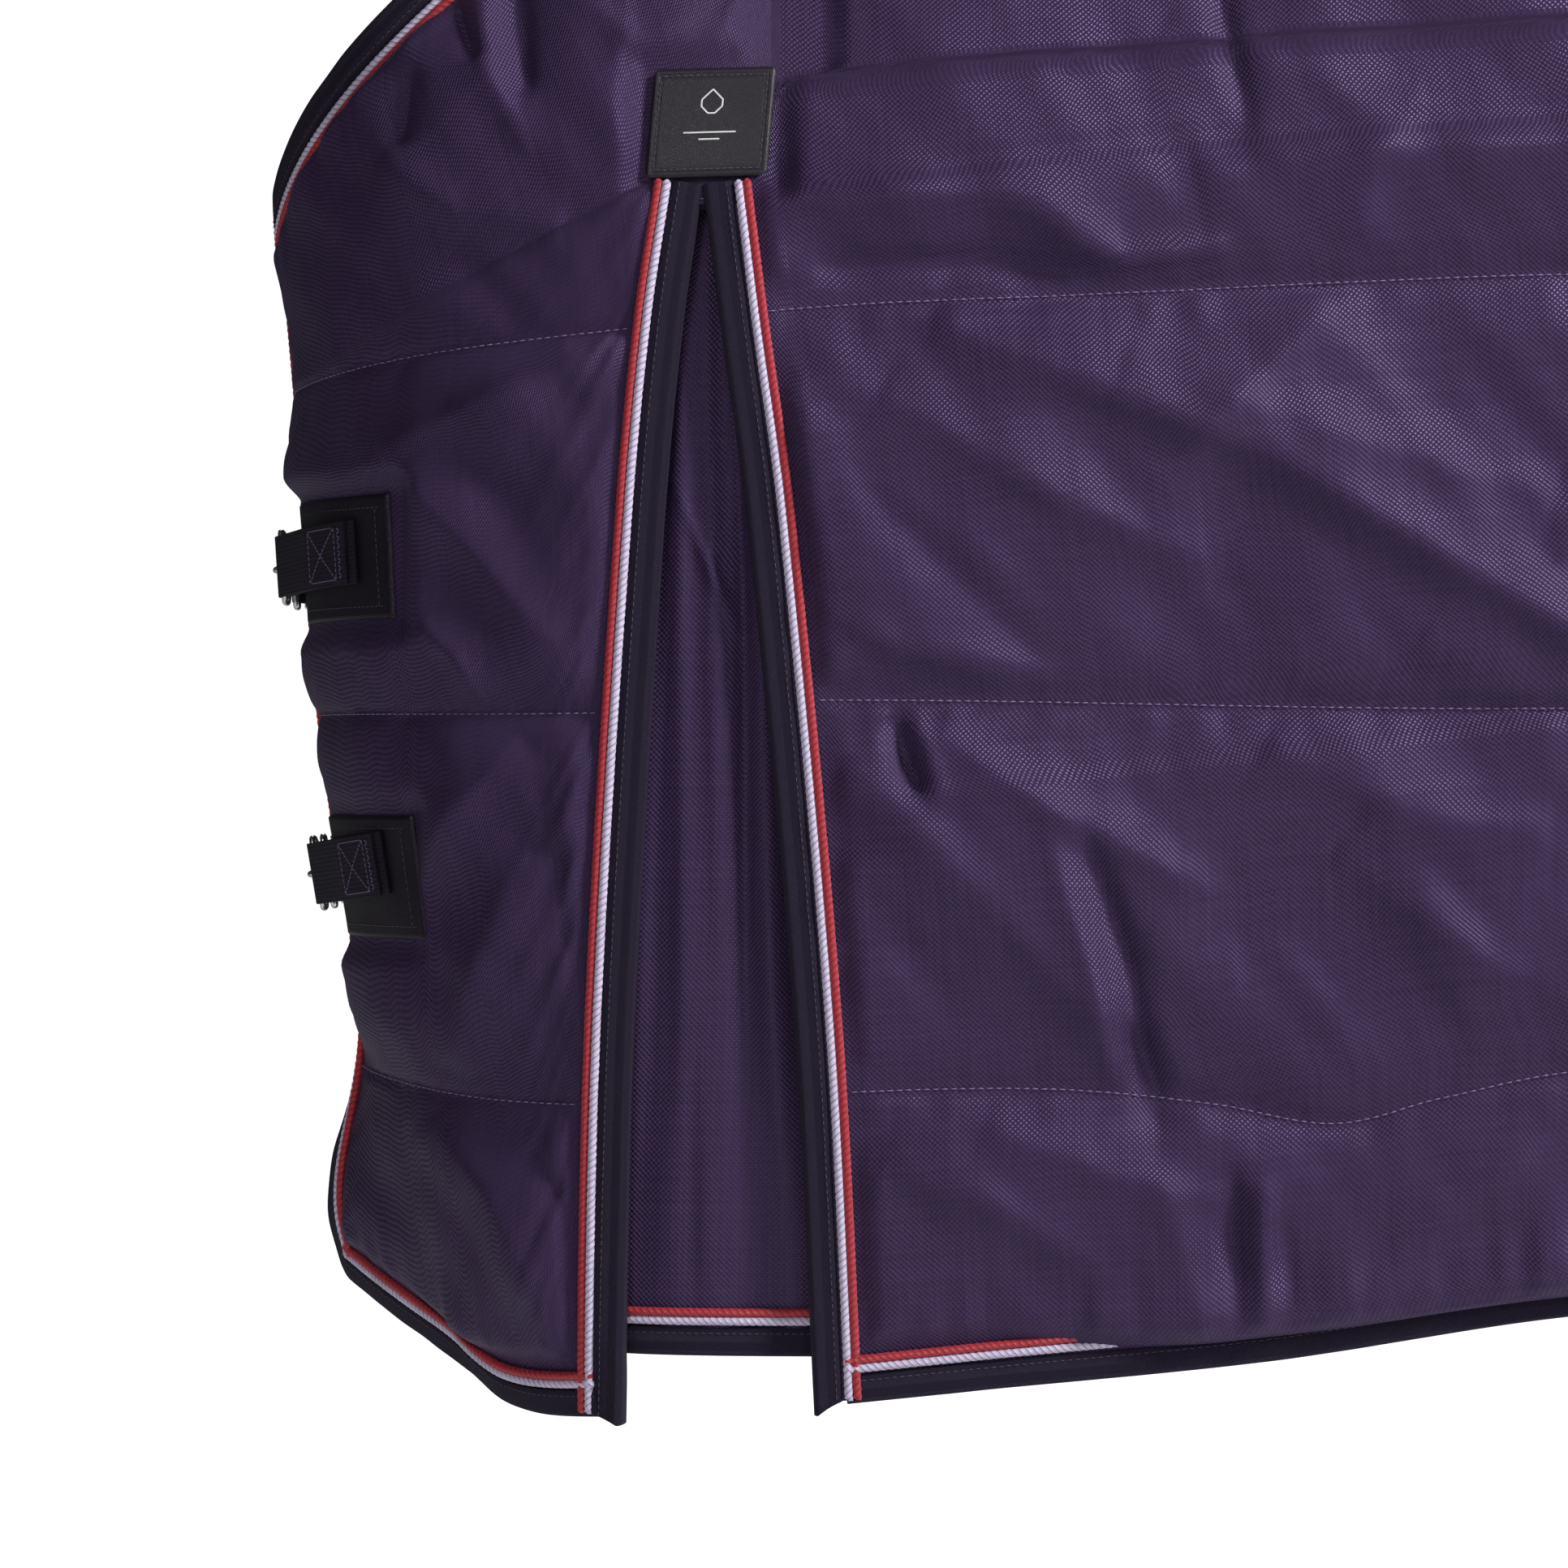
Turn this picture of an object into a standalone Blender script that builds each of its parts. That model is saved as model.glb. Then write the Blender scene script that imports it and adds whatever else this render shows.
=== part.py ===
"""A turnout rug for a horse, shaped as it hangs when it is worn.

The row frame: -X towards the horse's head, +X towards its tail, -Y is the horse's left side, +Z up.
The origin lies on the lining where it rests on the horse's spine, halfway along the back.
Everything is in metres. The cloth follows one smooth form, given by a few lines along the horse.
"""

import math

import bmesh
import bpy
from mathutils import Matrix, Vector
from mathutils.bvhtree import BVHTree

# ---- driving sizes of the form the rug hangs in ---------------------------------------------
SEAM_X = -0.757  # the seam that joins the chest panels to the body
REAR_X = 0.90  # rear edge of the rug, at the hem
REAR_TOP_X = 0.86  # rear edge of the rug, on the spine
CROUP_X = 0.62  # the plan starts to close in behind this
CROUP_REACH = 0.40  # how far behind CROUP_X the plan would close
SPINE_LINE = [
    (-0.76, 0.045),
    (-0.5, 0.038),
    (-0.2, 0.018),
    (0.0, 0.0080),
    (0.3, 0.018),
    (0.6, 0.008),
    (0.9, -0.07),
]
WIDTH_LINE = [(-0.76, 0.250), (-0.5, 0.262), (-0.2, 0.288), (0.1, 0.300), (0.4, 0.298), (0.9, 0.290)]
DROP_LINE = [(-0.76, 0.40), (-0.4, 0.35), (0.0, 0.30), (0.9, 0.30)]  # spine down to the widest level
RIDGE_LINE = [(-0.76, 1.30), (-0.3, 1.10), (0.0, 1.0), (0.9, 0.95)]  # over 1 makes a sharper back
CHEST_LINE = [  # X of the chest's front at a height
    (-1.05, -0.945),
    (-0.96, -0.984),
    (-0.83, -1.012),
    (-0.63, -1.045),
    (-0.43, -1.060),
    (-0.28, -1.072),
    (0.05, -1.078),
]
CHEST_POWER = 0.9  # roundness of the chest's plan, along X
FLANK_POWER = 0.75  # roundness of the chest's plan, along Y
HEM_TUCK = 0.012  # the hem hangs this much nearer the middle than the widest level
HEM_LINE = [
    (-0.757, -1.022),
    (-0.646, -1.010),
    (-0.479, -0.992),
    (-0.306, -0.964),
    (0.0, -0.935),
    (0.35, -0.935),
    (0.9, -0.955),
]
CHEST_HEM_LINE = [(0.0, -1.022), (25.0, -1.028), (52.0, -1.028), (70.0, -1.000), (90.0, -0.960)]
NECK_DROP = 0.243  # how far the neckline is below the withers 42 degrees round the chest
NECK_DROP_ANGLE = 42.0
NECK_POWER = 0.593
THROAT_DROP = 0.025  # extra dip of the neckline at the front edges
FRONT_GAP = 0.060  # between the two front edges
CORNER_RADIUS = 0.006  # rounded lower corners of the front edges
FLARE = 0.045  # the lower front corners stand forward by this

# ---- the layers of the cloth ------------------------------------------------------------------
OUTER_T = 0.0008
WADDING_T = 0.0050
LINING_T = 0.0008
LAYER_GAP = 0.0007
SEAM_GAP = 0.0006  # the chest panels' outer stands clear of the body's outer by this
STACK = OUTER_T + WADDING_T + LINING_T + 2 * LAYER_GAP

# ---- the shoulder gussets ----------------------------------------------------------------------
SLIT_TOP_Z = -0.318
SLIT_FRONT_LINE = [(-1.04, -0.852), (-0.80, -0.845), (-0.51, -0.8266), (-0.40, -0.816), (-0.318, -0.8037)]
SLIT_REAR_LINE = [(-1.04, -0.7345), (-0.80, -0.747), (-0.51, -0.774), (-0.40, -0.789), (-0.318, -0.7993)]
GUSSET_OVERLAP = 0.034  # the gusset panel reaches this far behind each edge of the slit
GUSSET_DEPTH = 0.0160  # its outer face is this far inside the rug's outer face
GUSSET_T = 0.0015
GUSSET_TOP_Z = -0.332
GUSSET_HEM_Z = -0.992
GUSSET_ROWS = 10
GUSSET_COLUMNS = 7

# ---- binding tape and piping -------------------------------------------------------------------
TAPE_W = 0.0145
TAPE_T = 0.0009
TAPE_GAP = 0.0016
FOLD_GAP = 0.0024  # between the cloth's cut edge and the fold of the tape
NECK_GAP = 0.0042  # wider at the neck, where the cloth bends two ways under the tape
CORD_D = 0.0050
PIPING_W = 2 * CORD_D
PIPING_T = 0.0026
PIPING_GAP = 0.0009
TRIM_END_GAP = 0.0090
TRIM_SPAN = 0.030  # how far in from an edge its trims are laid out
SQUARE_FROM = 7  # the neckline's stations from here up are squared to its edge
EDGE_DROP = 0.006  # a slit's tape ends this far below the hem of the cloth

# ---- badges ------------------------------------------------------------------------------------
BADGE_W = 0.070
BADGE_H = 0.0635
BADGE_Z = -0.283
BADGE_X = -0.797
BADGE_T = 0.0018
BADGE_OFFSET = 0.0018

# ---- chest fasteners ---------------------------------------------------------------------------
FASTENER_Z = {"upper": -0.529, "lower": -0.718}
WEBBING = 0.038
WEBBING_T = 0.0016
PATCH_H = 0.073
PATCH_T = 0.0015
PATCH_OFFSET = 0.0009
PATCH_REAR_ANGLE = 48.0
PATCH_FRONT_ANGLE = 76.0
TAB_REAR_ANGLE = 56.0
TAB_FRONT_ANGLE = 72.0
TAB_OFFSET = 0.0042
RING_Y = -0.050  # the D-ring's straight bar
RING_REACH = 0.030
RING_WIRE = 0.0040
RING_OFFSET = 0.0108  # the D-ring's bar stands this far in front of the chest
RING_PLAY = 0.0012  # between the D-ring and the bottom of the hook's bend
LOOP_GAP = 0.0003
HOOK_WIRE = 0.0045
HOOK_R = 0.0075
SHANK_LENGTH = 0.020
NECK_R = 0.0034
PIN_R = 0.0024
HEAD_R = 0.0040
BOSS_R = 0.0045
BOSS_LENGTH = 0.005
EYE_BAR_Y = 0.028
EYE_WIRE = 0.0040
EYE_DEPTH = 0.0120
GATE_WIRE = 0.0030
GATE_PIVOT = (0.0145, 0.0045)  # along the hook from the middle of its bend, and out from its middle
GATE_END = (0.0006, 0.0060)
SLIDER_AT = 0.64  # share of the strap's straight run
STRAP_LINE = [(58.0, 0.0044), (66.0, 0.0046), (72.0, 0.0054), (78.0, 0.0068)]  # angle, height over the chest
RETURN_SHARE = 0.30  # the strap's inner ply ends this far along its straight run

# ---- cross surcingles --------------------------------------------------------------------------
SURCINGLES = {"front": (-0.10, 0.20), "rear": (0.20, -0.10)}  # X on the left side, X on the right side
SURCINGLE_W = 0.050
SURCINGLE_T = 0.0020
ANCHOR_Z = -0.72
BELLY_Z = {"front": -1.010, "rear": -1.022}
PLATE_Z = -0.815
PLATE_T = 0.0025
PLATE_OFFSET = 0.0100  # the slotted plate stands this far off the cloth
PLY_OFFSET = 0.0024  # the inner ply of the short tab stands this far off the cloth
HEM_CLEAR = 0.0080
RETURN_RUN = 0.060

# ---- tail flap ---------------------------------------------------------------------------------
FLAP_TOP_HALF = 0.11
FLAP_HALF_W = 0.17
FLAP_LENGTH = 0.40
FLAP_X = 0.925
FLAP_CLEAR = 0.014
FLAP_T = 0.006
FLAP_ROUND = 0.10
FLAP_W_SHARES = [0.0, 0.12, 0.26, 0.42, 0.58, 0.74, 0.88, 1.0]
FLAP_V_SHARES = [-1.0, -0.83, -0.55, -0.2, 0.2, 0.55, 0.83, 1.0]

# ---- how finely the cloth is divided -----------------------------------------------------------
WIDEST_SHARE = 0.4167  # share of the way down that lies at the widest level
ROW_SHARES = [0.0, 0.06, 0.13, 0.21, 0.30, 0.392, 0.49, 0.58, 0.67, 0.76, 0.85, 0.94, 1.0]
SLIT_ROW = 5  # this row is moved to the top of the slit
CHEST_SHARES = [0.0, 0.07, 0.16, 0.27, 0.40, 0.53, 0.66, 0.78, 0.88, 0.95, 1.0]
NECK_SHARES = [0.0, 0.08, 0.19, 0.33, 0.49, 0.65, 0.79, 0.90, 0.965, 0.992, 1.0]  # the same at the neckline
BODY_SHARES = [0.0, 0.018, 0.08, 0.18, 0.30, 0.42, 0.54, 0.66, 0.78, 0.90, 0.982, 1.0]
REAR_TRIM_ROW = 3  # the rear edge is bound up to this row; the tail flap is sewn on above it

LEFT, RIGHT = -1, 1
SIDES = {"left": LEFT, "right": RIGHT}


# ---- small helpers -----------------------------------------------------------------------------
def along(line, at):
    """A smooth curve through the points of a line, read at one place."""
    if at <= line[0][0]:
        return line[0][1]
    if at >= line[-1][0]:
        return line[-1][1]
    i = max(k for k in range(len(line) - 1) if line[k][0] <= at)

    def slope(k):
        low, high = max(k - 1, 0), min(k + 1, len(line) - 1)
        return (line[high][1] - line[low][1]) / (line[high][0] - line[low][0])

    (x0, y0), (x1, y1) = line[i], line[i + 1]
    span = x1 - x0
    s = (at - x0) / span
    return (
        y0 * (1 + 2 * s) * (1 - s) ** 2
        + y1 * s * s * (3 - 2 * s)
        + slope(i) * span * s * (1 - s) ** 2
        + slope(i + 1) * span * s * s * (s - 1)
    )


def smooth(t):
    t = min(1.0, max(0.0, t))
    return t * t * (3 - 2 * t)


def mix(a, b, t):
    return a + (b - a) * t


# ---- the form ----------------------------------------------------------------------------------
def widest(x):
    """Half the rug's width at its widest level."""
    closing = max(0.0, (x - CROUP_X) / CROUP_REACH)
    return along(WIDTH_LINE, x) * math.sqrt(1 - closing**2.2)


def half_width(x, z):
    """Half the rug's width at a height, behind the chest seam."""
    down = (along(SPINE_LINE, x) - z) / along(DROP_LINE, x)
    if down >= 1:
        below = (along(SPINE_LINE, x) - along(DROP_LINE, x) - z) / 0.65
        return widest(x) - HEM_TUCK * below**2
    cosine = 1 - max(0.0, down)
    return widest(x) * (1 - cosine**2) ** (along(RIDGE_LINE, x) / 2)


def neck_z(angle):
    drop = NECK_DROP * (angle / NECK_DROP_ANGLE) ** NECK_POWER
    return along(SPINE_LINE, SEAM_X) - drop - THROAT_DROP * smooth((angle - 78) / 12)


def front_angle():
    """The angle round the chest at which a front edge stands."""
    return math.degrees(math.acos((FRONT_GAP / 2 / widest(SEAM_X)) ** (1 / FLANK_POWER)))


def section_z(x, t):
    """Height of a share t of the way from the spine to the hem."""
    top, drop = along(SPINE_LINE, x), along(DROP_LINE, x)
    turn = WIDEST_SHARE
    if t < turn:
        return top - drop * (1 - math.cos(math.pi / 2 * t / turn))
    return mix(top - drop, along(HEM_LINE, x), (t - turn) / (1 - turn))


def hem_z(angle):
    """The chest panel's hem, with its corner rounded at the front edge."""
    base = along(CHEST_HEM_LINE, angle)
    y = widest(SEAM_X) * math.cos(math.radians(angle)) ** FLANK_POWER
    short = max(0.0, CORNER_RADIUS - max(0.0, y - FRONT_GAP / 2))
    return base + CORNER_RADIUS - math.sqrt(CORNER_RADIUS**2 - short**2)


def chest_point(angle, z, side):
    turned = math.radians(angle)
    reach = SEAM_X - along(CHEST_LINE, z)
    flare = FLARE * smooth((angle - 62) / 24) * smooth((-0.80 - z) / 0.14)
    x = SEAM_X - reach * math.sin(turned) ** CHEST_POWER - flare
    return Vector((x, side * half_width(SEAM_X, z) * math.cos(turned) ** FLANK_POWER, z))


def surface(c, t, side):
    """A point of the rug's outer face. c is minus the angle round the chest, or metres behind the seam."""
    if c >= 0:
        x = SEAM_X + c
        z = section_z(x, t)
        return Vector((x, side * half_width(x, z), z))
    top = along(SPINE_LINE, SEAM_X)
    share = (top - section_z(SEAM_X, t)) / (top - along(HEM_LINE, SEAM_X))
    z = mix(neck_z(-c), hem_z(-c), share)
    return chest_point(-c, z, side)


def c_of_x(x, z):
    """The place along the rug of an X at a height."""
    if x >= SEAM_X:
        return x - SEAM_X
    share = (SEAM_X - x) / (SEAM_X - along(CHEST_LINE, z))
    return -math.degrees(math.asin(share ** (1 / CHEST_POWER)))


def c_at(line, t):
    """The place along the rug where a share t meets the X given by a line of heights."""
    c = 0.0
    for _ in range(12):
        z = surface(c, t, LEFT).z
        c = c_of_x(along(line, z), z)
    return c


def normal_at(c, t, side):
    """The outward normal of the outer face."""
    c = 0.0 if abs(c) < 1e-4 else c
    dc, dt = (0.004 if c > 0.01 else 0.8), 0.004
    c0, c1 = (c - dc, c + dc) if abs(c) > dc else (c, c + (0.004 if c >= 0 else -0.8))
    t0, t1 = max(0.002, t - dt), min(1.0, t + dt)
    across = surface(c1, t, side) - surface(c0, t, side)
    down = surface(c, t1, side) - surface(c, t0, side)
    if t < 0.01 and c >= 0:
        return Vector((0, 0, 1))
    n = across.cross(down)
    middle = Vector((min(max(surface(c, t, side).x, SEAM_X), 0.6), 0, -0.5))
    n.normalize()
    return n if n.dot(surface(c, t, side) - middle) > 0 else -n


class Sheet:
    """A grid of cloth points and normals: columns run along the rug and rows run down it."""

    def __init__(self, columns_of_row, rows, side, gap=0.0):
        self.side = side
        self.points, self.normals = [], []
        for t in rows:
            cs = columns_of_row(t, gap)
            self.points.append([surface(c, t, side) for c in cs])
            self.normals.append([normal_at(c, t, side) for c in cs])

    def at(self, row, column, depth=0.0):
        return self.points[row][column] - self.normals[row][column] * depth


def share_at(z):
    """The share t at which the seam line passes a height."""
    low, high = 0.0, 1.0
    for _ in range(40):
        middle = (low + high) / 2
        low, high = (middle, high) if section_z(SEAM_X, middle) > z else (low, middle)
    return high


ROW_SHARES[SLIT_ROW] = share_at(SLIT_TOP_Z)


def edge_line(slit_line, t, gap):
    """The X of the edge that faces a slit: the slit's own line, or the seam above it."""
    return slit_line if t >= ROW_SHARES[SLIT_ROW] else [(-1.1, SEAM_X + gap), (0.1, SEAM_X + gap)]


def chest_columns(t, gap=0.0):
    front, rear = -front_angle(), c_at(edge_line(SLIT_FRONT_LINE, t, -gap), t)
    blend = smooth(t / 0.2)
    return [mix(front, rear, mix(top, base, blend)) for top, base in zip(NECK_SHARES, CHEST_SHARES)]


def body_columns(t, gap=0.0):
    line = edge_line(SLIT_REAR_LINE, t, gap)
    front_c = c_at(line, t)
    front_x = surface(front_c, t, LEFT).x
    rear_x = mix(REAR_TOP_X, REAR_X, t)
    columns = [front_c]
    for share in BODY_SHARES[1:]:
        x = mix(front_x, rear_x, share)
        columns.append(c_at([(-1.1, x), (0.1, x)], t))
    return columns


# ---- making objects ----------------------------------------------------------------------------
def clear_scene():
    for obj in list(bpy.data.objects):
        bpy.data.objects.remove(obj)
    for collection in list(bpy.data.collections):
        bpy.data.collections.remove(collection)


def material(name, colour, roughness, metallic=0.0):
    made = bpy.data.materials.new(name)
    made.use_nodes = True
    shader = made.node_tree.nodes["Principled BSDF"]
    shader.inputs["Base Color"].default_value = (*colour, 1.0)
    shader.inputs["Roughness"].default_value = roughness
    shader.inputs["Metallic"].default_value = metallic
    return made


def finish_mesh(name, bm, finish, recalculate=True):
    """Turns a bmesh into a named object of the rug."""
    if recalculate:
        bmesh.ops.recalc_face_normals(bm, faces=bm.faces)
        if bm.calc_volume(signed=True) < 0:
            bmesh.ops.reverse_faces(bm, faces=bm.faces)
    mesh = bpy.data.meshes.new(name)
    bm.to_mesh(mesh)
    bm.free()
    mesh.materials.append(finish)
    obj = bpy.data.objects.new(name, mesh)
    RUG.objects.link(obj)
    return obj


def loft(name, rings, finish, closed=False):
    """A solid through rings of points, capped at both ends unless it closes on itself."""
    bm = bmesh.new()
    rows = [[bm.verts.new(p) for p in ring] for ring in rings]
    count = len(rows[0])
    pairs = list(zip(rows, rows[1:]))
    if closed:
        pairs.append((rows[-1], rows[0]))
    for a, b in pairs:
        for k in range(count):
            bm.faces.new((a[k], a[(k + 1) % count], b[(k + 1) % count], b[k]))
    if not closed:
        bm.faces.new(rows[0])
        bm.faces.new(rows[-1])
    bmesh.ops.triangulate(bm, faces=[f for f in bm.faces if len(f.verts) > 4])
    return finish_mesh(name, bm, finish)


def cloth(name, sheets, depth, thickness, finish):
    """A layer of cloth, lofted from the sheets' surface at one depth straight in to its other face."""
    bm = bmesh.new()
    tops, bottoms = {}, {}

    def corner(sheet, r, c):
        key = tuple(round(v, 4) for v in sheet.points[r][c])
        if key not in tops:
            tops[key] = bm.verts.new(sheet.at(r, c, depth))
            bottoms[key] = bm.verts.new(sheet.at(r, c, depth + thickness))
        return key

    uses = {}
    for sheet in sheets:
        for r in range(len(sheet.points) - 1):
            for c in range(len(sheet.points[r]) - 1):
                a, b = corner(sheet, r, c), corner(sheet, r + 1, c)
                d, e = corner(sheet, r + 1, c + 1), corner(sheet, r, c + 1)
                for face in ((a, b, d), (a, d, e)):
                    face = face if sheet.side == LEFT else face[::-1]
                    bm.faces.new([tops[k] for k in face])
                    bm.faces.new([bottoms[k] for k in face[::-1]])
                    for k in range(3):
                        start, stop = face[k], face[(k + 1) % 3]
                        uses[(start, stop)] = uses.get((start, stop), 0) + 1
    for start, stop in uses:
        if (stop, start) not in uses:
            bm.faces.new((tops[stop], tops[start], bottoms[start], bottoms[stop]))
    return finish_mesh(name, bm, finish)


def tube(name, points, diameter, finish, cyclic=False):
    """A round wire or cord through its points."""
    curve = bpy.data.curves.new(name, "CURVE")
    curve.dimensions = "3D"
    curve.bevel_depth = diameter / 2
    curve.bevel_resolution = 2
    curve.use_fill_caps = not cyclic
    spline = curve.splines.new("POLY")
    spline.points.add(len(points) - 1)
    for target, p in zip(spline.points, points):
        target.co = (*p, 1)
    spline.use_cyclic_u = cyclic
    curve.materials.append(finish)
    obj = bpy.data.objects.new(name, curve)
    RUG.objects.link(obj)
    return obj


def as_mesh(obj):
    """Replaces a curve object by its own mesh, with the caps welded."""
    bpy.context.view_layer.update()
    graph = bpy.context.evaluated_depsgraph_get()
    mesh = bpy.data.meshes.new_from_object(obj.evaluated_get(graph))
    name, place, finish = obj.name, obj.matrix_world.copy(), obj.data.materials[0]
    bpy.data.objects.remove(obj)
    bm = bmesh.new()
    bm.from_mesh(mesh)
    bpy.data.meshes.remove(mesh)
    bmesh.ops.remove_doubles(bm, verts=bm.verts, dist=0.00002)
    made = finish_mesh(name, bm, finish)
    made.matrix_world = place
    return made


def box(name, low, high, finish):
    bm = bmesh.new()
    bmesh.ops.create_cube(bm, size=1.0)
    for v in bm.verts:
        v.co = Vector([mix(low[k], high[k], v.co[k] + 0.5) for k in range(3)])
    return finish_mesh(name, bm, finish)


# ---- edges: binding tape and piping ------------------------------------------------------------
class Station:
    """A place on a run: the edge point and an inner point, each with its normal, row and column."""

    def __init__(self, edge, edge_n, inner, inner_n, edge_at=(0, 0), inner_at=(0, 0)):
        self.edge, self.edge_n, self.inner, self.inner_n = edge, edge_n, inner, inner_n
        self.edge_at, self.inner_at = edge_at, inner_at
        self.middle = None  # a point of the cloth halfway in, where the cloth curves under the trims

    def at(self, share, height):
        """The point a share of the way in and a height above the cloth."""
        level = mix(self.edge_n, self.inner_n, max(0.0, share)) * height
        if self.middle is None or not 0 < share < 1:
            return mix(self.edge, self.inner, share) + level
        if share < 0.5:
            return mix(self.edge, self.middle, share * 2) + level
        return mix(self.middle, self.inner, share * 2 - 1) + level

    def between(self, other, share):
        pairs = ((self.edge, other.edge), (self.edge_n, other.edge_n), (self.inner, other.inner))
        moved = [mix(a, b, share) for a, b in (*pairs, (self.inner_n, other.inner_n))]
        return Station(*moved, self.edge_at, self.inner_at)


class Edge:
    """A run of stations along the edge of a sheet."""

    def __init__(self, stations=()):
        self.stations = list(stations)

    def trimmed(self, start=0.0, end=0.0):
        """The same run, shortened at its ends."""
        made = Edge(self.stations)
        if start:
            made.shorten(start)
        if end:
            made.stations.reverse()
            made.shorten(end)
            made.stations.reverse()
        return made

    def shorten(self, distance):
        while (self.stations[1].edge - self.stations[0].edge).length < distance:
            distance -= (self.stations[1].edge - self.stations[0].edge).length
            self.stations.pop(0)
        first, second = self.stations[:2]
        self.stations[0] = first.between(second, distance / (second.edge - first.edge).length)

    def extended(self, distance):
        """The same run with its last station moved on, along the edge."""
        made = Edge(self.stations)
        before, last = made.stations[-2:]
        step = (last.edge - before.edge).normalized() * distance
        moved = (last.edge + step, last.edge_n, last.inner + step, last.inner_n)
        made.stations[-1] = Station(*moved, last.edge_at, last.inner_at)
        return made

    def divided(self):
        """The same run with a station added halfway between each pair."""
        made = Edge(self.stations[:1])
        for a, b in zip(self.stations, self.stations[1:]):
            made.stations += [a.between(b, 0.5), b]
        return made

    def rings(self, corners):
        """Rings of a section whose corners are (distance in from the edge, height above the outer face)."""
        rings = []
        for k, station in enumerate(self.stations):
            before = self.stations[max(0, k - 1)]
            after = self.stations[min(k + 1, len(self.stations) - 1)]
            inward = station.inner - station.edge
            span = inward.length
            spans = ((before, station), (station, after))
            runs = [(b.edge - a.edge).normalized() for a, b in spans if a is not b]
            leaning = min(inward.normalized().cross(along_edge).length for along_edge in runs)
            stretch = 1 / max(0.6, leaning)
            rings.append([station.at(s * stretch / span, h) for s, h in corners])
        return rings

    def leans_in(self, k):
        """Whether the cloth's diagonal runs from the edge at station k to the next one's inner point."""
        a, b = self.stations[k], self.stations[k + 1]
        return (b.inner_at[0] - a.edge_at[0]) * (b.inner_at[1] - a.edge_at[1]) > 0


def sweep(name, run, corners, finish):
    """A section swept along a run, with the same diagonals as the cloth under it."""
    bm = bmesh.new()
    rings = [[bm.verts.new(p) for p in ring] for ring in run.rings(corners)]
    count = len(corners)
    for i, (a, b) in enumerate(zip(rings, rings[1:])):
        for k in range(count):
            j = (k + 1) % count
            if (corners[k][0] > corners[j][0]) == run.leans_in(i):
                faces = ((a[k], a[j], b[k]), (a[j], b[j], b[k]))
            else:
                faces = ((a[k], a[j], b[j]), (a[k], b[j], b[k]))
            for face in faces:
                bm.faces.new(face)
    pairs = [(0, 1)] + [(count - k, k + 1) for k in range(1, count // 2)]
    for ring in (rings[0], rings[-1]):
        for (a, b), (c, d) in zip(pairs, pairs[1:]):
            bm.faces.new((ring[a], ring[b], ring[d]))
            bm.faces.new((ring[a], ring[d], ring[c]))
    return finish_mesh(name, bm, finish)


def tape_section(stack, gap=TAPE_GAP, bent=False):
    """The tape's section. A bent one has an extra corner in the middle of each flat side."""
    top, bottom, fold, half = gap, -stack - gap, -FOLD_GAP - TAPE_T, TRIM_SPAN / 2
    outside = [(half, top + TAPE_T), (fold, top + TAPE_T), (fold, bottom - TAPE_T), (half, bottom - TAPE_T)]
    inside = [(half, bottom), (-FOLD_GAP, bottom), (-FOLD_GAP, top), (half, top)]
    if not bent:
        outside, inside = outside[1:3], inside[1:3]
    start = [(TAPE_W, top), (TAPE_W, top + TAPE_T)]
    return [*start, *outside, (TAPE_W, bottom - TAPE_T), (TAPE_W, bottom), *inside]


def piping_section(gap=TAPE_GAP):
    inner = TAPE_W + PIPING_GAP
    low, high = gap, gap + PIPING_T
    return [(inner, low), (inner, high), (inner + PIPING_W, high), (inner + PIPING_W, low)]


def station(sheet, row, column, inner_row, inner_column):
    """The station at one grid point, with another as its inner point. Columns may count from the end."""
    wide = len(sheet.points[0])
    column, inner_column = column % wide, inner_column % wide
    return Station(
        sheet.points[row][column],
        sheet.normals[row][column],
        sheet.points[inner_row][inner_column],
        sheet.normals[inner_row][inner_column],
        (row, column),
        (inner_row, inner_column),
    )


def column_edge(sheet, column, inner_column, rows):
    return Edge([station(sheet, r, column, r, inner_column) for r in rows])


def row_edge(sheet, row, inner_row, columns):
    return Edge([station(sheet, row, c, inner_row, c) for c in columns])


def trim(name, run, stack, butts=(False, False), gap=TAPE_GAP, bent=False):
    """The binding tape and twin piping of one run. An end that butts stops short of the trim it meets."""
    short = TAPE_W + 2 * PIPING_GAP + PIPING_W + TRIM_END_GAP
    kept = run.trimmed(*(short if stop else 0.0 for stop in butts))
    sweep(name + "_binding", kept, tape_section(stack, gap, bent), TAPE)
    sweep(name + "_piping", kept, piping_section(gap), PIPING)


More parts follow.
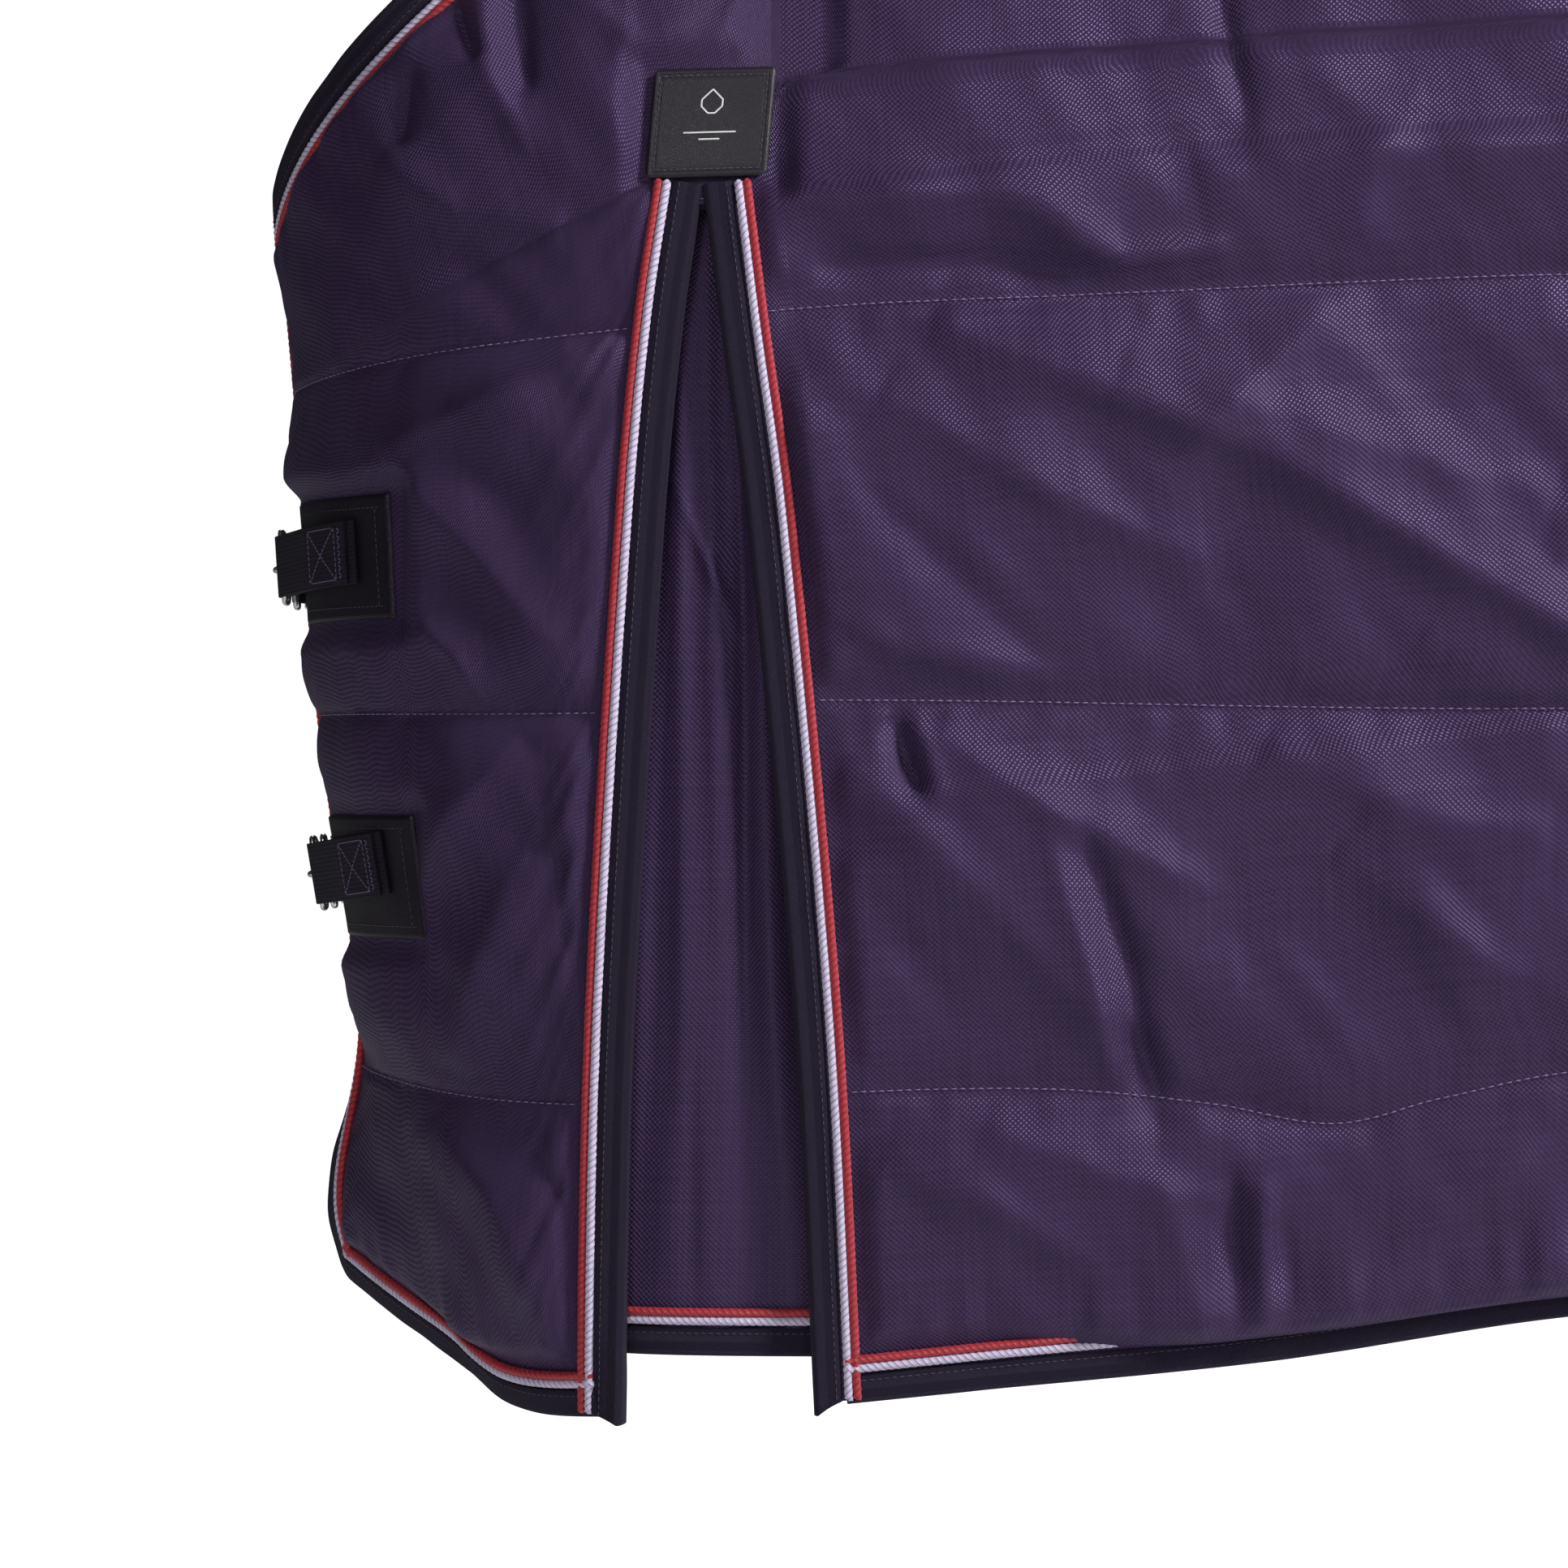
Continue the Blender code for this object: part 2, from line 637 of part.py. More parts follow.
# ---- the cloth body ----------------------------------------------------------------------------
def make_body():
    """The shell, wadding and lining, and the trims along their edges."""
    last = len(ROW_SHARES) - 1
    chests = {n: Sheet(chest_columns, ROW_SHARES, s) for n, s in SIDES.items()}
    bodies = {n: Sheet(body_columns, ROW_SHARES, s) for n, s in SIDES.items()}
    parted = SEAM_GAP / 2
    for n, s in SIDES.items():
        cloth(f"{n}_chest_outer", [Sheet(chest_columns, ROW_SHARES, s, parted)], 0.0, OUTER_T, SHELL)
    halves = [Sheet(body_columns, ROW_SHARES, s, parted) for s in SIDES.values()]
    cloth("body_outer", halves, 0.0, OUTER_T, SHELL)
    everything = [*chests.values(), *bodies.values()]
    cloth("wadding", everything, OUTER_T + LAYER_GAP, WADDING_T, WADDING)
    cloth("lining", everything, STACK - LINING_T, LINING_T, LINING)
    far = len(CHEST_SHARES) - 1
    for n in SIDES:
        chest, body = chests[n], bodies[n]
        front = column_edge(chest, 0, 1, range(last))
        front.stations.append(station(chest, last, 0, last - 1, 1))
        front.stations += row_edge(chest, last, last - 1, range(1, far + 1)).stations
        trim(f"{n}_chest", front, STACK, (True, True))
        slit_rows = range(SLIT_ROW, last + 1)
        trim(f"{n}_slit_front", column_edge(chest, far, far - 1, slit_rows).extended(EDGE_DROP), STACK)
        trim(f"{n}_slit_rear", column_edge(body, 0, 1, slit_rows).extended(EDGE_DROP), STACK)
        hem = row_edge(body, last, last - 1, range(len(BODY_SHARES) - 1))
        hem.stations.append(station(body, last, -1, last - 1, -2))
        hem.stations += column_edge(body, -1, -2, range(last - 1, REAR_TRIM_ROW - 1, -1)).stations
        trim(f"{n}_hem", hem, STACK, (True, False))
    trim("neck", neck_run(chests, bodies), STACK, gap=NECK_GAP, bent=True)


def neck_run(chests, bodies):
    """The neckline's run. Near the withers its inner points lie square to the edge, on the cloth."""
    polygons, points = [], []
    for sheet in (*chests.values(), *bodies.values()):
        wide = len(sheet.points[0])
        for r in range(len(sheet.points) - 1):
            for c in range(wide - 1):
                k = len(points) + r * wide + c
                polygons += [(k, k + wide, k + wide + 1), (k, k + wide + 1, k + 1)]
        points += [p for row in sheet.points for p in row]
    cloth_tree = BVHTree.FromPolygons(points, polygons)
    far = len(CHEST_SHARES) - 1
    run = row_edge(chests["left"], 0, 1, range(far))
    spine = bodies["left"].points[0][0]
    up = Vector((0, 0, 1))
    run.stations.append(Station(spine, up, spine + Vector((TRIM_SPAN, 0, 0)), up))
    run.stations += row_edge(chests["right"], 0, 1, range(far - 1, -1, -1)).stations
    run = run.divided()
    for k, s in enumerate(run.stations):
        if min(k, len(run.stations) - 1 - k) < SQUARE_FROM:
            continue
        ahead = (run.stations[k + 1].edge - run.stations[k - 1].edge).normalized()
        inward = s.edge_n.cross(ahead).normalized()
        inward = inward if inward.x > 0 else -inward
        s.middle = cloth_tree.find_nearest(s.edge + inward * TRIM_SPAN / 2)[0]
        found, normal, _, _ = cloth_tree.find_nearest(s.edge + inward * TRIM_SPAN)
        normal = normal if normal.dot(s.edge_n) > 0 else -normal
        s.inner, s.inner_n = found, (normal + s.edge_n).normalized()
    return run


def place(x, z, side):
    """The point of the outer face at an X and a height."""
    c = c_of_x(x, z)
    return chest_point(-c, z, side) if c < 0 else Vector((x, side * half_width(x, z), z))


def outward(x, z, side):
    """The level direction away from the outer face at an X and a height."""
    ahead = place(x + 0.004, z, side) - place(x - 0.004, z, side)
    out = Vector((ahead.y, -ahead.x, 0)).normalized()
    return out if out.y * side > 0 else -out


def make_gussets():
    for n, side in SIDES.items():
        sheet = Sheet(None, [], side)
        for z in spread(GUSSET_TOP_Z, GUSSET_HEM_Z, GUSSET_ROWS):
            front = along(SLIT_FRONT_LINE, z) - GUSSET_OVERLAP
            rear = along(SLIT_REAR_LINE, z) + GUSSET_OVERLAP
            xs = spread(front, rear, GUSSET_COLUMNS)
            outs = [outward(x, z, side) for x in xs]
            sheet.points.append([place(x, z, side) - out * GUSSET_DEPTH for x, out in zip(xs, outs)])
            sheet.normals.append(outs)
        cloth(f"{n}_gusset_panel", [sheet], 0.0, GUSSET_T, SHELL)
        run = row_edge(sheet, GUSSET_ROWS - 1, GUSSET_ROWS - 2, range(GUSSET_COLUMNS))
        trim(f"{n}_gusset_hem", run, GUSSET_T)


def patch_rings(angles, z_low, z_high, side, offset, thickness):
    """Rings of a flat patch laid on the chest, between two angles and two heights."""
    rings = []
    for angle in angles:
        column = []
        for z in (z_low, z_high):
            p = chest_point(angle, z, side)
            ahead = chest_point(angle + 1, z, side) - chest_point(angle - 1, z, side)
            out = Vector((ahead.y, -ahead.x, 0)).normalized()
            out = out if out.x < 0 or out.y * side > 0 else -out
            column.append((p, out))
        (a, na), (b, nb) = column
        rings.append(
            [a + na * offset, a + na * (offset + thickness), b + nb * (offset + thickness), b + nb * offset]
        )
    return rings


def spread(low, high, count):
    return [mix(low, high, k / (count - 1)) for k in range(count)]


def make_badges():
    for n, side in SIDES.items():
        rings = []
        for x in spread(BADGE_X - BADGE_W / 2, BADGE_X + BADGE_W / 2, 3):
            low, high = (place(x, z, side) for z in (BADGE_Z - BADGE_H / 2, BADGE_Z + BADGE_H / 2))
            rise = (high - low).normalized()
            out = outward(x, BADGE_Z, side)
            out = (out - rise * out.dot(rise)).normalized()
            near, far = out * BADGE_OFFSET, out * (BADGE_OFFSET + BADGE_T)
            rings.append([low + near, low + far, high + far, high + near])
        loft(f"{n}_badge", rings, LEATHERETTE)


# ---- chest fasteners ---------------------------------------------------------------------------
def chest_plan(angle, z, side, offset):
    """A plan point in front of the chest by an offset."""
    p = chest_point(angle, z, side)
    ahead = chest_point(angle + 1, z, side) - chest_point(angle - 1, z, side)
    out = Vector((ahead.y, -ahead.x)).normalized()
    out = out if out.x < 0 else -out
    return (p.x + out.x * offset, p.y + out.y * offset)


def arc(centre, radius, first, last, count):
    return [
        (centre[0] + radius * math.cos(math.radians(a)), centre[1] + radius * math.sin(math.radians(a)))
        for a in spread(first, last, count)
    ]


def ribbon(name, path, z, width, thickness, finish):
    """A strip of webbing that follows a plan path (X, Y) and stands upright, centred on a height."""
    rings = []
    for k, p in enumerate(path):
        a, b = path[max(0, k - 1)], path[min(len(path) - 1, k + 1)]
        t = (Vector(b) - Vector(a)).normalized()
        n = Vector((-t.y, t.x)) * thickness / 2
        low, high = z - width / 2, z + width / 2
        x, y = p
        near, far = (x + n.x, y + n.y), (x - n.x, y - n.y)
        rings.append([(*near, low), (*near, high), (*far, high), (*far, low)])
    return loft(name, rings, finish)


def rounded(corners, radius, steps=3):
    """A closed path with each corner rounded off."""
    path = []
    for k, corner in enumerate(corners):
        before, after = Vector(corners[k - 1]), Vector(corners[(k + 1) % len(corners)])
        corner = Vector(corner)
        start = corner + (before - corner).normalized() * radius
        stop = corner + (after - corner).normalized() * radius
        for share in spread(0, 1, steps + 1):
            path.append(start.lerp(corner, share).lerp(corner.lerp(stop, share), share))
    return path


def cylinder(name, x, z, radius, y_low, y_high, finish, sides=16):
    """A round bar along Y."""
    turns = [2 * math.pi * k / sides for k in range(sides)]
    rings = [
        [(x + radius * math.cos(a), y, z + radius * math.sin(a)) for a in turns] for y in (y_low, y_high)
    ]
    return loft(name, rings, finish)


def boolean(base, other, operation):
    """Joins another solid to a base or cuts it from the base, and then removes the other."""
    modifier = base.modifiers.new("boolean", "BOOLEAN")
    modifier.operation = operation
    modifier.object = other
    bpy.context.view_layer.update()
    graph = bpy.context.evaluated_depsgraph_get()
    mesh = bpy.data.meshes.new_from_object(base.evaluated_get(graph))
    base.modifiers.clear()
    base.data = mesh
    bpy.data.objects.remove(other)


def make_fastener(name, z):
    """One chest fastener: patches, near tab, D-ring, snap hook with its gate, far strap and slider."""
    bar_x = along(CHEST_LINE, z) - RING_OFFSET
    patch_z = (z - PATCH_H / 2, z + PATCH_H / 2)
    angles = spread(PATCH_REAR_ANGLE, PATCH_FRONT_ANGLE, 6)
    loft(f"{name}_near_patch", patch_rings(angles, *patch_z, LEFT, PATCH_OFFSET, PATCH_T), LEATHERETTE)
    loft(f"{name}_far_patch", patch_rings(angles, *patch_z, RIGHT, PATCH_OFFSET, PATCH_T), LEATHERETTE)
    wrap = RING_WIRE / 2 + LOOP_GAP + WEBBING_T / 2
    under = [chest_plan(a, z, LEFT, TAB_OFFSET) for a in spread(TAB_REAR_ANGLE, TAB_FRONT_ANGLE, 4)]
    turn = arc((bar_x, RING_Y), wrap, 0, 180, 7)
    over_offset = TAB_OFFSET + WEBBING_T + 2 * LOOP_GAP
    back_angles = spread(TAB_FRONT_ANGLE - 3, TAB_REAR_ANGLE + 1.5, 4)
    over = [chest_plan(a, z, LEFT, over_offset) for a in back_angles]
    ribbon(f"{name}_near_tab", [*under, *turn, *over], z, WEBBING, WEBBING_T, WEBBING_CLOTH)
    make_ring(f"{name}_d_ring", bar_x, z)
    make_hook(name, bar_x, z)
    loop = EYE_WIRE / 2 + LOOP_GAP + WEBBING_T / 2
    turn = arc((bar_x, EYE_BAR_Y), loop, 360, 180, 9)
    anchor = [chest_plan(a, z, RIGHT, height) for a, height in STRAP_LINE[::-1]]
    back = tuple(mix(turn[0][k], anchor[0][k], RETURN_SHARE) for k in range(2))
    ribbon(f"{name}_strap", [back, *turn, *anchor], z, WEBBING, WEBBING_T, WEBBING_CLOTH)
    make_slider(f"{name}_slider", turn, anchor, z)
    lean_back(name, bar_x, z)


def lean_back(name, bar_x, z):
    """Turns a fastener about a level line, parallel to the chest. Its patches are on the chest already."""
    slope = (along(CHEST_LINE, z + 0.03) - along(CHEST_LINE, z - 0.03)) / 0.06
    pivot = Vector((bar_x, 0, z))
    turn = Matrix.Rotation(math.atan(slope), 4, "Y")
    turn = Matrix.Translation(pivot) @ turn @ Matrix.Translation(-pivot)
    for obj in RUG.objects:
        if obj.name.startswith(name) and "patch" not in obj.name:
            obj.data.transform(turn)


def make_ring(name, bar_x, z):
    half = WEBBING / 2 + RING_WIRE / 2 + 0.0010
    shoulder = RING_Y + RING_REACH - 0.016
    ring = [(bar_x, RING_Y + 0.002, z - half), (bar_x, RING_Y, z - half + 0.002)]
    ring += [(bar_x, RING_Y, z + half - 0.002), (bar_x, RING_Y + 0.002, z + half)]
    ring += [(bar_x, shoulder, z + half)]
    turns = [math.pi * k / 10 for k in range(1, 10)]
    ring += [(bar_x, shoulder + 0.016 * math.sin(a), z + half * math.cos(a)) for a in turns]
    ring += [(bar_x, shoulder, z - half)]
    tube(name, ring, RING_WIRE, STEEL, cyclic=True)


def make_hook(name, bar_x, z):
    bend_y = RING_Y + RING_REACH + HOOK_R - HOOK_WIRE / 2 - RING_WIRE / 2 - RING_PLAY

    def at(u, v):
        return (bar_x - v, bend_y + u, z)

    steps = [(SHANK_LENGTH, 0.0), (0.0165, -0.0012), (0.0125, -0.0045)]
    steps += [(0.0090, -0.0068), (0.0050, -HOOK_R)]
    turns = [math.radians(a) for a in range(270, 89, -20)]
    steps += [(HOOK_R * math.cos(a), HOOK_R * math.sin(a)) for a in turns]
    hook = as_mesh(tube(f"{name}_snap_hook", [at(u, v) for u, v in steps], HOOK_WIRE, STEEL))
    near_y = EYE_BAR_Y - EYE_DEPTH
    boss_low, boss_high = near_y - BOSS_LENGTH / 2, near_y + BOSS_LENGTH / 2
    neck_end = boss_low - LOOP_GAP
    head = boss_high + LOOP_GAP
    neck_start = bend_y + SHANK_LENGTH - 0.003
    boolean(hook, cylinder("neck", bar_x, z, NECK_R, neck_start, neck_end, STEEL), "UNION")
    boolean(hook, cylinder("pin", bar_x, z, PIN_R, neck_end - 0.001, head + 0.001, STEEL), "UNION")
    boolean(hook, cylinder("head", bar_x, z, HEAD_R, head, head + 0.0020, STEEL), "UNION")
    tall = WEBBING / 2 + EYE_WIRE / 2 + 0.0012
    corners = [(bar_x, near_y, z - tall), (bar_x, near_y, z + tall)]
    corners += [(bar_x, EYE_BAR_Y, z + tall), (bar_x, EYE_BAR_Y, z - tall)]
    eye = as_mesh(tube(f"{name}_swivel_eye", rounded(corners, 0.0035), EYE_WIRE, STEEL, cyclic=True))
    boolean(eye, cylinder("boss", bar_x, z, BOSS_R, boss_low, boss_high, STEEL), "UNION")
    bore = cylinder("bore", bar_x, z, PIN_R + 0.0003, boss_low - 0.002, boss_high + 0.002, STEEL)
    boolean(eye, bore, "DIFFERENCE")
    tube(f"{name}_snap_gate", [at(*GATE_PIVOT), at(*GATE_END)], GATE_WIRE, STEEL)


def make_slider(name, turn, anchor, z):
    """A flat frame round the strap's straight run."""
    start, stop = Vector(turn[-1]), Vector(anchor[0])
    run = (stop - start).normalized()
    out = Vector((-run.y, run.x))
    middle = start.lerp(stop, SLIDER_AT)

    def frame(label, reach, depth, tall):
        signs = ((-1, -1), (1, -1), (1, 1), (-1, 1))
        corners = [middle + run * (reach * a) + out * (depth * b) for a, b in signs]
        return loft(label, [[(p.x, p.y, z + h) for p in corners] for h in (-tall, tall)], STEEL)

    made = frame(name, 0.006, 0.0026, WEBBING / 2 + 0.0030)
    boolean(made, frame("slot", 0.010, WEBBING_T / 2 + 0.0004, WEBBING / 2 + 0.0006), "DIFFERENCE")


# ---- cross surcingles --------------------------------------------------------------------------
def strap_3d(name, path, width, thickness, finish):
    """A strip of webbing along a path in space, with its width as near to X as it can be."""
    rings = []
    for k, p in enumerate(path):
        a, b = Vector(path[max(0, k - 1)]), Vector(path[min(len(path) - 1, k + 1)])
        t = (b - a).normalized()
        across = Vector((1, 0, 0)) - t * t.x
        across.normalize()
        up = t.cross(across) * thickness / 2
        across *= width / 2
        p = Vector(p)
        rings.append([p - across - up, p + across - up, p + across + up, p - across + up])
    return loft(name, rings, finish)


def flank(x, z, side, offset):
    return Vector((x, side * (half_width(x, z) + offset), z))


def flank_box(name, x, low, high, finish):
    """A box on the left flank: each corner is (along X, out from the fitting's plane, height)."""
    y = -(half_width(x, PLATE_Z) + PLATE_OFFSET)
    return box(name, (x + low[0], y - high[1], low[2]), (x + high[0], y - low[1], high[2]), finish)


def make_surcingle(name, left_x, right_x):
    belly = BELLY_Z[name]
    half = SURCINGLE_W / 2
    plane = half_width(left_x, PLATE_Z) + PLATE_OFFSET
    top_bar, low_bar = PLATE_Z + 0.0145, PLATE_Z - 0.0445
    hem = min(along(HEM_LINE, left_x), along(HEM_LINE, right_x))

    # the short tab and its slotted plate
    loop = 0.0029 + LOOP_GAP + SURCINGLE_T / 2
    tab = [flank(left_x, z, LEFT, PLY_OFFSET) for z in spread(ANCHOR_Z, top_bar + 0.022, 4)]
    tab += [(left_x, -plane - y, z) for y, z in arc((0.0, top_bar), loop, 180, 360, 9)]
    outer_ply = PLY_OFFSET + SURCINGLE_T + 0.0006
    tab += [flank(left_x, z, LEFT, outer_ply) for z in spread(top_bar + 0.022, ANCHOR_Z - 0.006, 4)]
    strap_3d(f"{name}_surcingle_tab", tab, SURCINGLE_W, SURCINGLE_T, WEBBING_CLOTH)
    low = (-half - 0.005, -PLATE_T / 2, PLATE_Z - 0.017)
    high = (half + 0.005, PLATE_T / 2, PLATE_Z + 0.017)
    plate = flank_box(f"{name}_surcingle_plate", left_x, low, high, STEEL)
    for low, high in (
        ((-half - 0.001, -0.01, PLATE_Z + 0.006), (half + 0.001, 0.01, PLATE_Z + 0.012)),
        ((-0.0065, -0.01, PLATE_Z - 0.013), (0.0065, 0.01, PLATE_Z + 0.002)),
    ):
        boolean(plate, flank_box("slot", left_x, low, high, STEEL), "DIFFERENCE")

    # the T-shaped hook that lies over the plate and reaches through its slot
    out = PLATE_T / 2 + 0.0005
    low = (-half - 0.005, out, PLATE_Z - 0.047)
    high = (half + 0.005, out + PLATE_T, PLATE_Z - 0.021)
    hook = flank_box(f"{name}_surcingle_hook", left_x, low, high, STEEL)
    for low, high in (
        ((-0.009, out, PLATE_Z - 0.022), (0.009, out + PLATE_T, PLATE_Z - 0.004)),
        ((-0.005, -PLATE_T - out, PLATE_Z - 0.012), (0.005, out + 0.001, PLATE_Z - 0.004)),
        ((-0.011, -PLATE_T - out, PLATE_Z - 0.012), (0.011, -out, PLATE_Z - 0.004)),
    ):
        boolean(hook, flank_box("piece", left_x, low, high, STEEL), "UNION")
    low, high = (-half - 0.001, -0.01, PLATE_Z - 0.042), (half + 0.001, 0.02, PLATE_Z - 0.030)
    slot = flank_box("slot", left_x, low, high, STEEL)
    boolean(hook, slot, "DIFFERENCE")

    # the long strap, from the right side under the belly to the hook
    strap = [flank(right_x, z, RIGHT, 0.0030) for z in spread(ANCHOR_Z, hem + 0.060, 4)]
    strap += [flank(right_x, hem + 0.020, RIGHT, HEM_CLEAR)]
    right_y, left_y = half_width(right_x, hem) + HEM_CLEAR, half_width(left_x, hem) + HEM_CLEAR
    for a in spread(0, 180, 19):
        turned = math.radians(a)
        y = (right_y if a < 90 else left_y) * math.copysign(abs(math.cos(turned)) ** 0.6, math.cos(turned))
        z = hem - 0.012 - (hem - 0.012 - belly) * math.sin(turned) ** 0.8
        strap.append(Vector((mix(right_x, left_x, smooth((right_y - y) / (right_y + left_y))), y, z)))
    strap += [flank(left_x, hem + 0.020, LEFT, HEM_CLEAR)]
    low_y = plane + out + PLATE_T / 2
    strap += [(left_x, -low_y - y, z) for y, z in arc((0.0, low_bar), loop, 180, 0, 9)]
    strap += [(left_x, -low_y - loop, low_bar - RETURN_RUN)]
    strap_3d(f"{name}_surcingle_strap", strap, SURCINGLE_W, SURCINGLE_T, WEBBING_CLOTH)


# ---- tail flap ---------------------------------------------------------------------------------
def make_flap():
    """The flap over the tail: a curved sheet that hangs from the rear edge, with its binding."""
    sheet = Sheet(None, [], LEFT)
    last, side = len(FLAP_W_SHARES) - 1, len(FLAP_V_SHARES) - 1
    sheet.points = [[flap_point(v, w) for v in FLAP_V_SHARES] for w in FLAP_W_SHARES]
    for r, line in enumerate(sheet.points):
        above, below = sheet.points[max(0, r - 1)], sheet.points[min(last, r + 1)]
        normals = []
        for c in range(side + 1):
            across = line[min(side, c + 1)] - line[max(0, c - 1)]
            n = across.cross(below[c] - above[c]).normalized()
            normals.append(n if n.x + n.z > 0 else -n)
        sheet.normals.append(normals)
    cloth("tail_flap", [sheet], 0.0, FLAP_T, SHELL)
    run = column_edge(sheet, 0, 1, range(last))
    run.stations.append(station(sheet, last, 0, last - 1, 1))
    run.stations += row_edge(sheet, last, last - 1, range(1, side)).stations
    run.stations.append(station(sheet, last, side, last - 1, side - 1))
    run.stations += column_edge(sheet, side, side - 1, range(last - 1, -1, -1)).stations
    sweep("tail_flap_binding", run, tape_section(FLAP_T), TAPE)


def flap_point(v, w):
    """A point of the flap: v runs across it and w runs down it."""
    top_y = v * FLAP_TOP_HALF
    x = REAR_TOP_X + FLAP_CLEAR
    drop, turn = along(DROP_LINE, x), abs(top_y) / widest(REAR_TOP_X)
    fall = drop * (1 - math.sqrt(1 - turn ** (2 / along(RIDGE_LINE, x))))
    top = Vector((x, top_y, along(SPINE_LINE, REAR_TOP_X) - fall))
    round_off = 1 - FLAP_ROUND * smooth((w - 0.8) / 0.2) ** 2
    low = Vector((FLAP_X - 0.03 * v * v, v * FLAP_HALF_W * round_off, top.z - FLAP_LENGTH + 0.03 * v**4))
    knee = Vector((FLAP_X + 0.01, v * mix(FLAP_TOP_HALF, FLAP_HALF_W, 0.6), top.z - 0.02))
    return top * (1 - w) ** 2 + knee * (2 * w * (1 - w)) + low * w**2


# ---- all of it ---------------------------------------------------------------------------------
clear_scene()
RUG = bpy.data.collections.new("turnout_rug")
bpy.context.scene.collection.children.link(RUG)
SHELL = material("woven_shell", (0.052, 0.030, 0.085), 0.72)
WADDING = material("wadding_felt", (0.62, 0.61, 0.58), 0.95)
LINING = material("lining_cloth", (0.020, 0.018, 0.030), 0.60)
TAPE = material("binding_twill", (0.010, 0.007, 0.016), 0.80)
PIPING = material("twin_piping", (0.40, 0.16, 0.20), 0.70)
LEATHERETTE = material("leatherette", (0.012, 0.009, 0.013), 0.45)
WEBBING_CLOTH = material("webbing", (0.010, 0.008, 0.014), 0.75)
STEEL = material("plated_steel", (0.62, 0.62, 0.61), 0.28, 1.0)

make_body()
make_gussets()
make_badges()
for fastener, height in FASTENER_Z.items():
    make_fastener(fastener, height)
for strap_name, (strap_left_x, strap_right_x) in SURCINGLES.items():
    make_surcingle(strap_name, strap_left_x, strap_right_x)
make_flap()
bpy.context.view_layer.update()
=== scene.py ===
"""The look of a quilted turnout rug: shell, quilting, trims, gussets, badges, clips and straps."""

import logging
import math
from dataclasses import dataclass, field
from enum import Enum

import bpy
import numpy as np
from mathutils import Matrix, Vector
from mathutils.bvhtree import BVHTree


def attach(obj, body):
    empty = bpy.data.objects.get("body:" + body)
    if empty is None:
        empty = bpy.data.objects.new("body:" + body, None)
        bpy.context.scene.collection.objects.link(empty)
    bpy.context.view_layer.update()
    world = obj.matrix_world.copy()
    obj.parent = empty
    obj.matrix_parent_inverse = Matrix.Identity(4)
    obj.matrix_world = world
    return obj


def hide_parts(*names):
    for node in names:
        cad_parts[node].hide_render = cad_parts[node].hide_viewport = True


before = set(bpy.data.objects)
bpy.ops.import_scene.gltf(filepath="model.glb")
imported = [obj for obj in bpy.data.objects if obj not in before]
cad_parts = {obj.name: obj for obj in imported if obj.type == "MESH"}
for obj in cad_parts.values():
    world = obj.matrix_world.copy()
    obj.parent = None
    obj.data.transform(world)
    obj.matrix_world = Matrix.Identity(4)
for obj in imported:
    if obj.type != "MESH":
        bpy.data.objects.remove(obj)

LOG = logging.getLogger("turnout_rug")
Line = tuple[tuple[float, float], ...]
Array = np.ndarray


class Side(Enum):
    """A side of the horse, as the sign of Y."""

    LEFT = -1
    RIGHT = 1

    @property
    def label(self) -> str:
        """The side's name in piece names."""
        return self.name.lower()


# ---- curves and noise ----------------------------------------------------------------------------
def read_line(line: Line, at: Array | float) -> Array:
    """Reads a smooth curve through the points of a line.

    Args:
        line: Points (place, value) in rising order of place.
        at: The places to read.

    Returns:
        The values, with the end values beyond the ends.
    """
    xs, ys = np.array(line, float).T
    count = len(xs)
    place = np.clip(np.asarray(at, float), xs[0], xs[-1])
    i = np.clip(np.searchsorted(xs, place, side="right") - 1, 0, count - 2)
    low, high = np.maximum(np.arange(count) - 1, 0), np.minimum(np.arange(count) + 1, count - 1)
    slopes = (ys[high] - ys[low]) / (xs[high] - xs[low])
    span = xs[i + 1] - xs[i]
    s = (place - xs[i]) / span
    ends = ys[i] * (1 + 2 * s) * (1 - s) ** 2 + ys[i + 1] * s * s * (3 - 2 * s)
    return ends + slopes[i] * span * s * (1 - s) ** 2 + slopes[i + 1] * span * s * s * (s - 1)


def smooth(value: Array | float, low: float = 0.0, high: float = 1.0) -> Array:
    """A smooth step from 0 at low to 1 at high."""
    t = np.clip((np.asarray(value, float) - low) / (high - low), 0, 1)
    return t * t * (3 - 2 * t)


def unit(v: Array) -> Array:
    """The vectors at unit length."""
    return v / np.maximum(np.linalg.norm(v, axis=-1, keepdims=True), 1e-12)


def noise(a: Array, b: Array | float, seed: int) -> Array:
    """Smooth noise from -1 to 1 with features about one unit across.

    Args:
        a: First coordinate.
        b: Second coordinate.
        seed: Chooses the pattern.

    Returns:
        The noise at each place.
    """
    a, b = np.broadcast_arrays(np.asarray(a, float), np.asarray(b, float))
    table = np.random.default_rng(seed).uniform(-1, 1, (64, 64))
    i, j = np.floor(a).astype(int), np.floor(b).astype(int)
    u, v = smooth(a - i), smooth(b - j)
    low = table[i % 64, j % 64] * (1 - u) + table[(i + 1) % 64, j % 64] * u
    high = table[i % 64, (j + 1) % 64] * (1 - u) + table[(i + 1) % 64, (j + 1) % 64] * u
    return low * (1 - v) + high * v


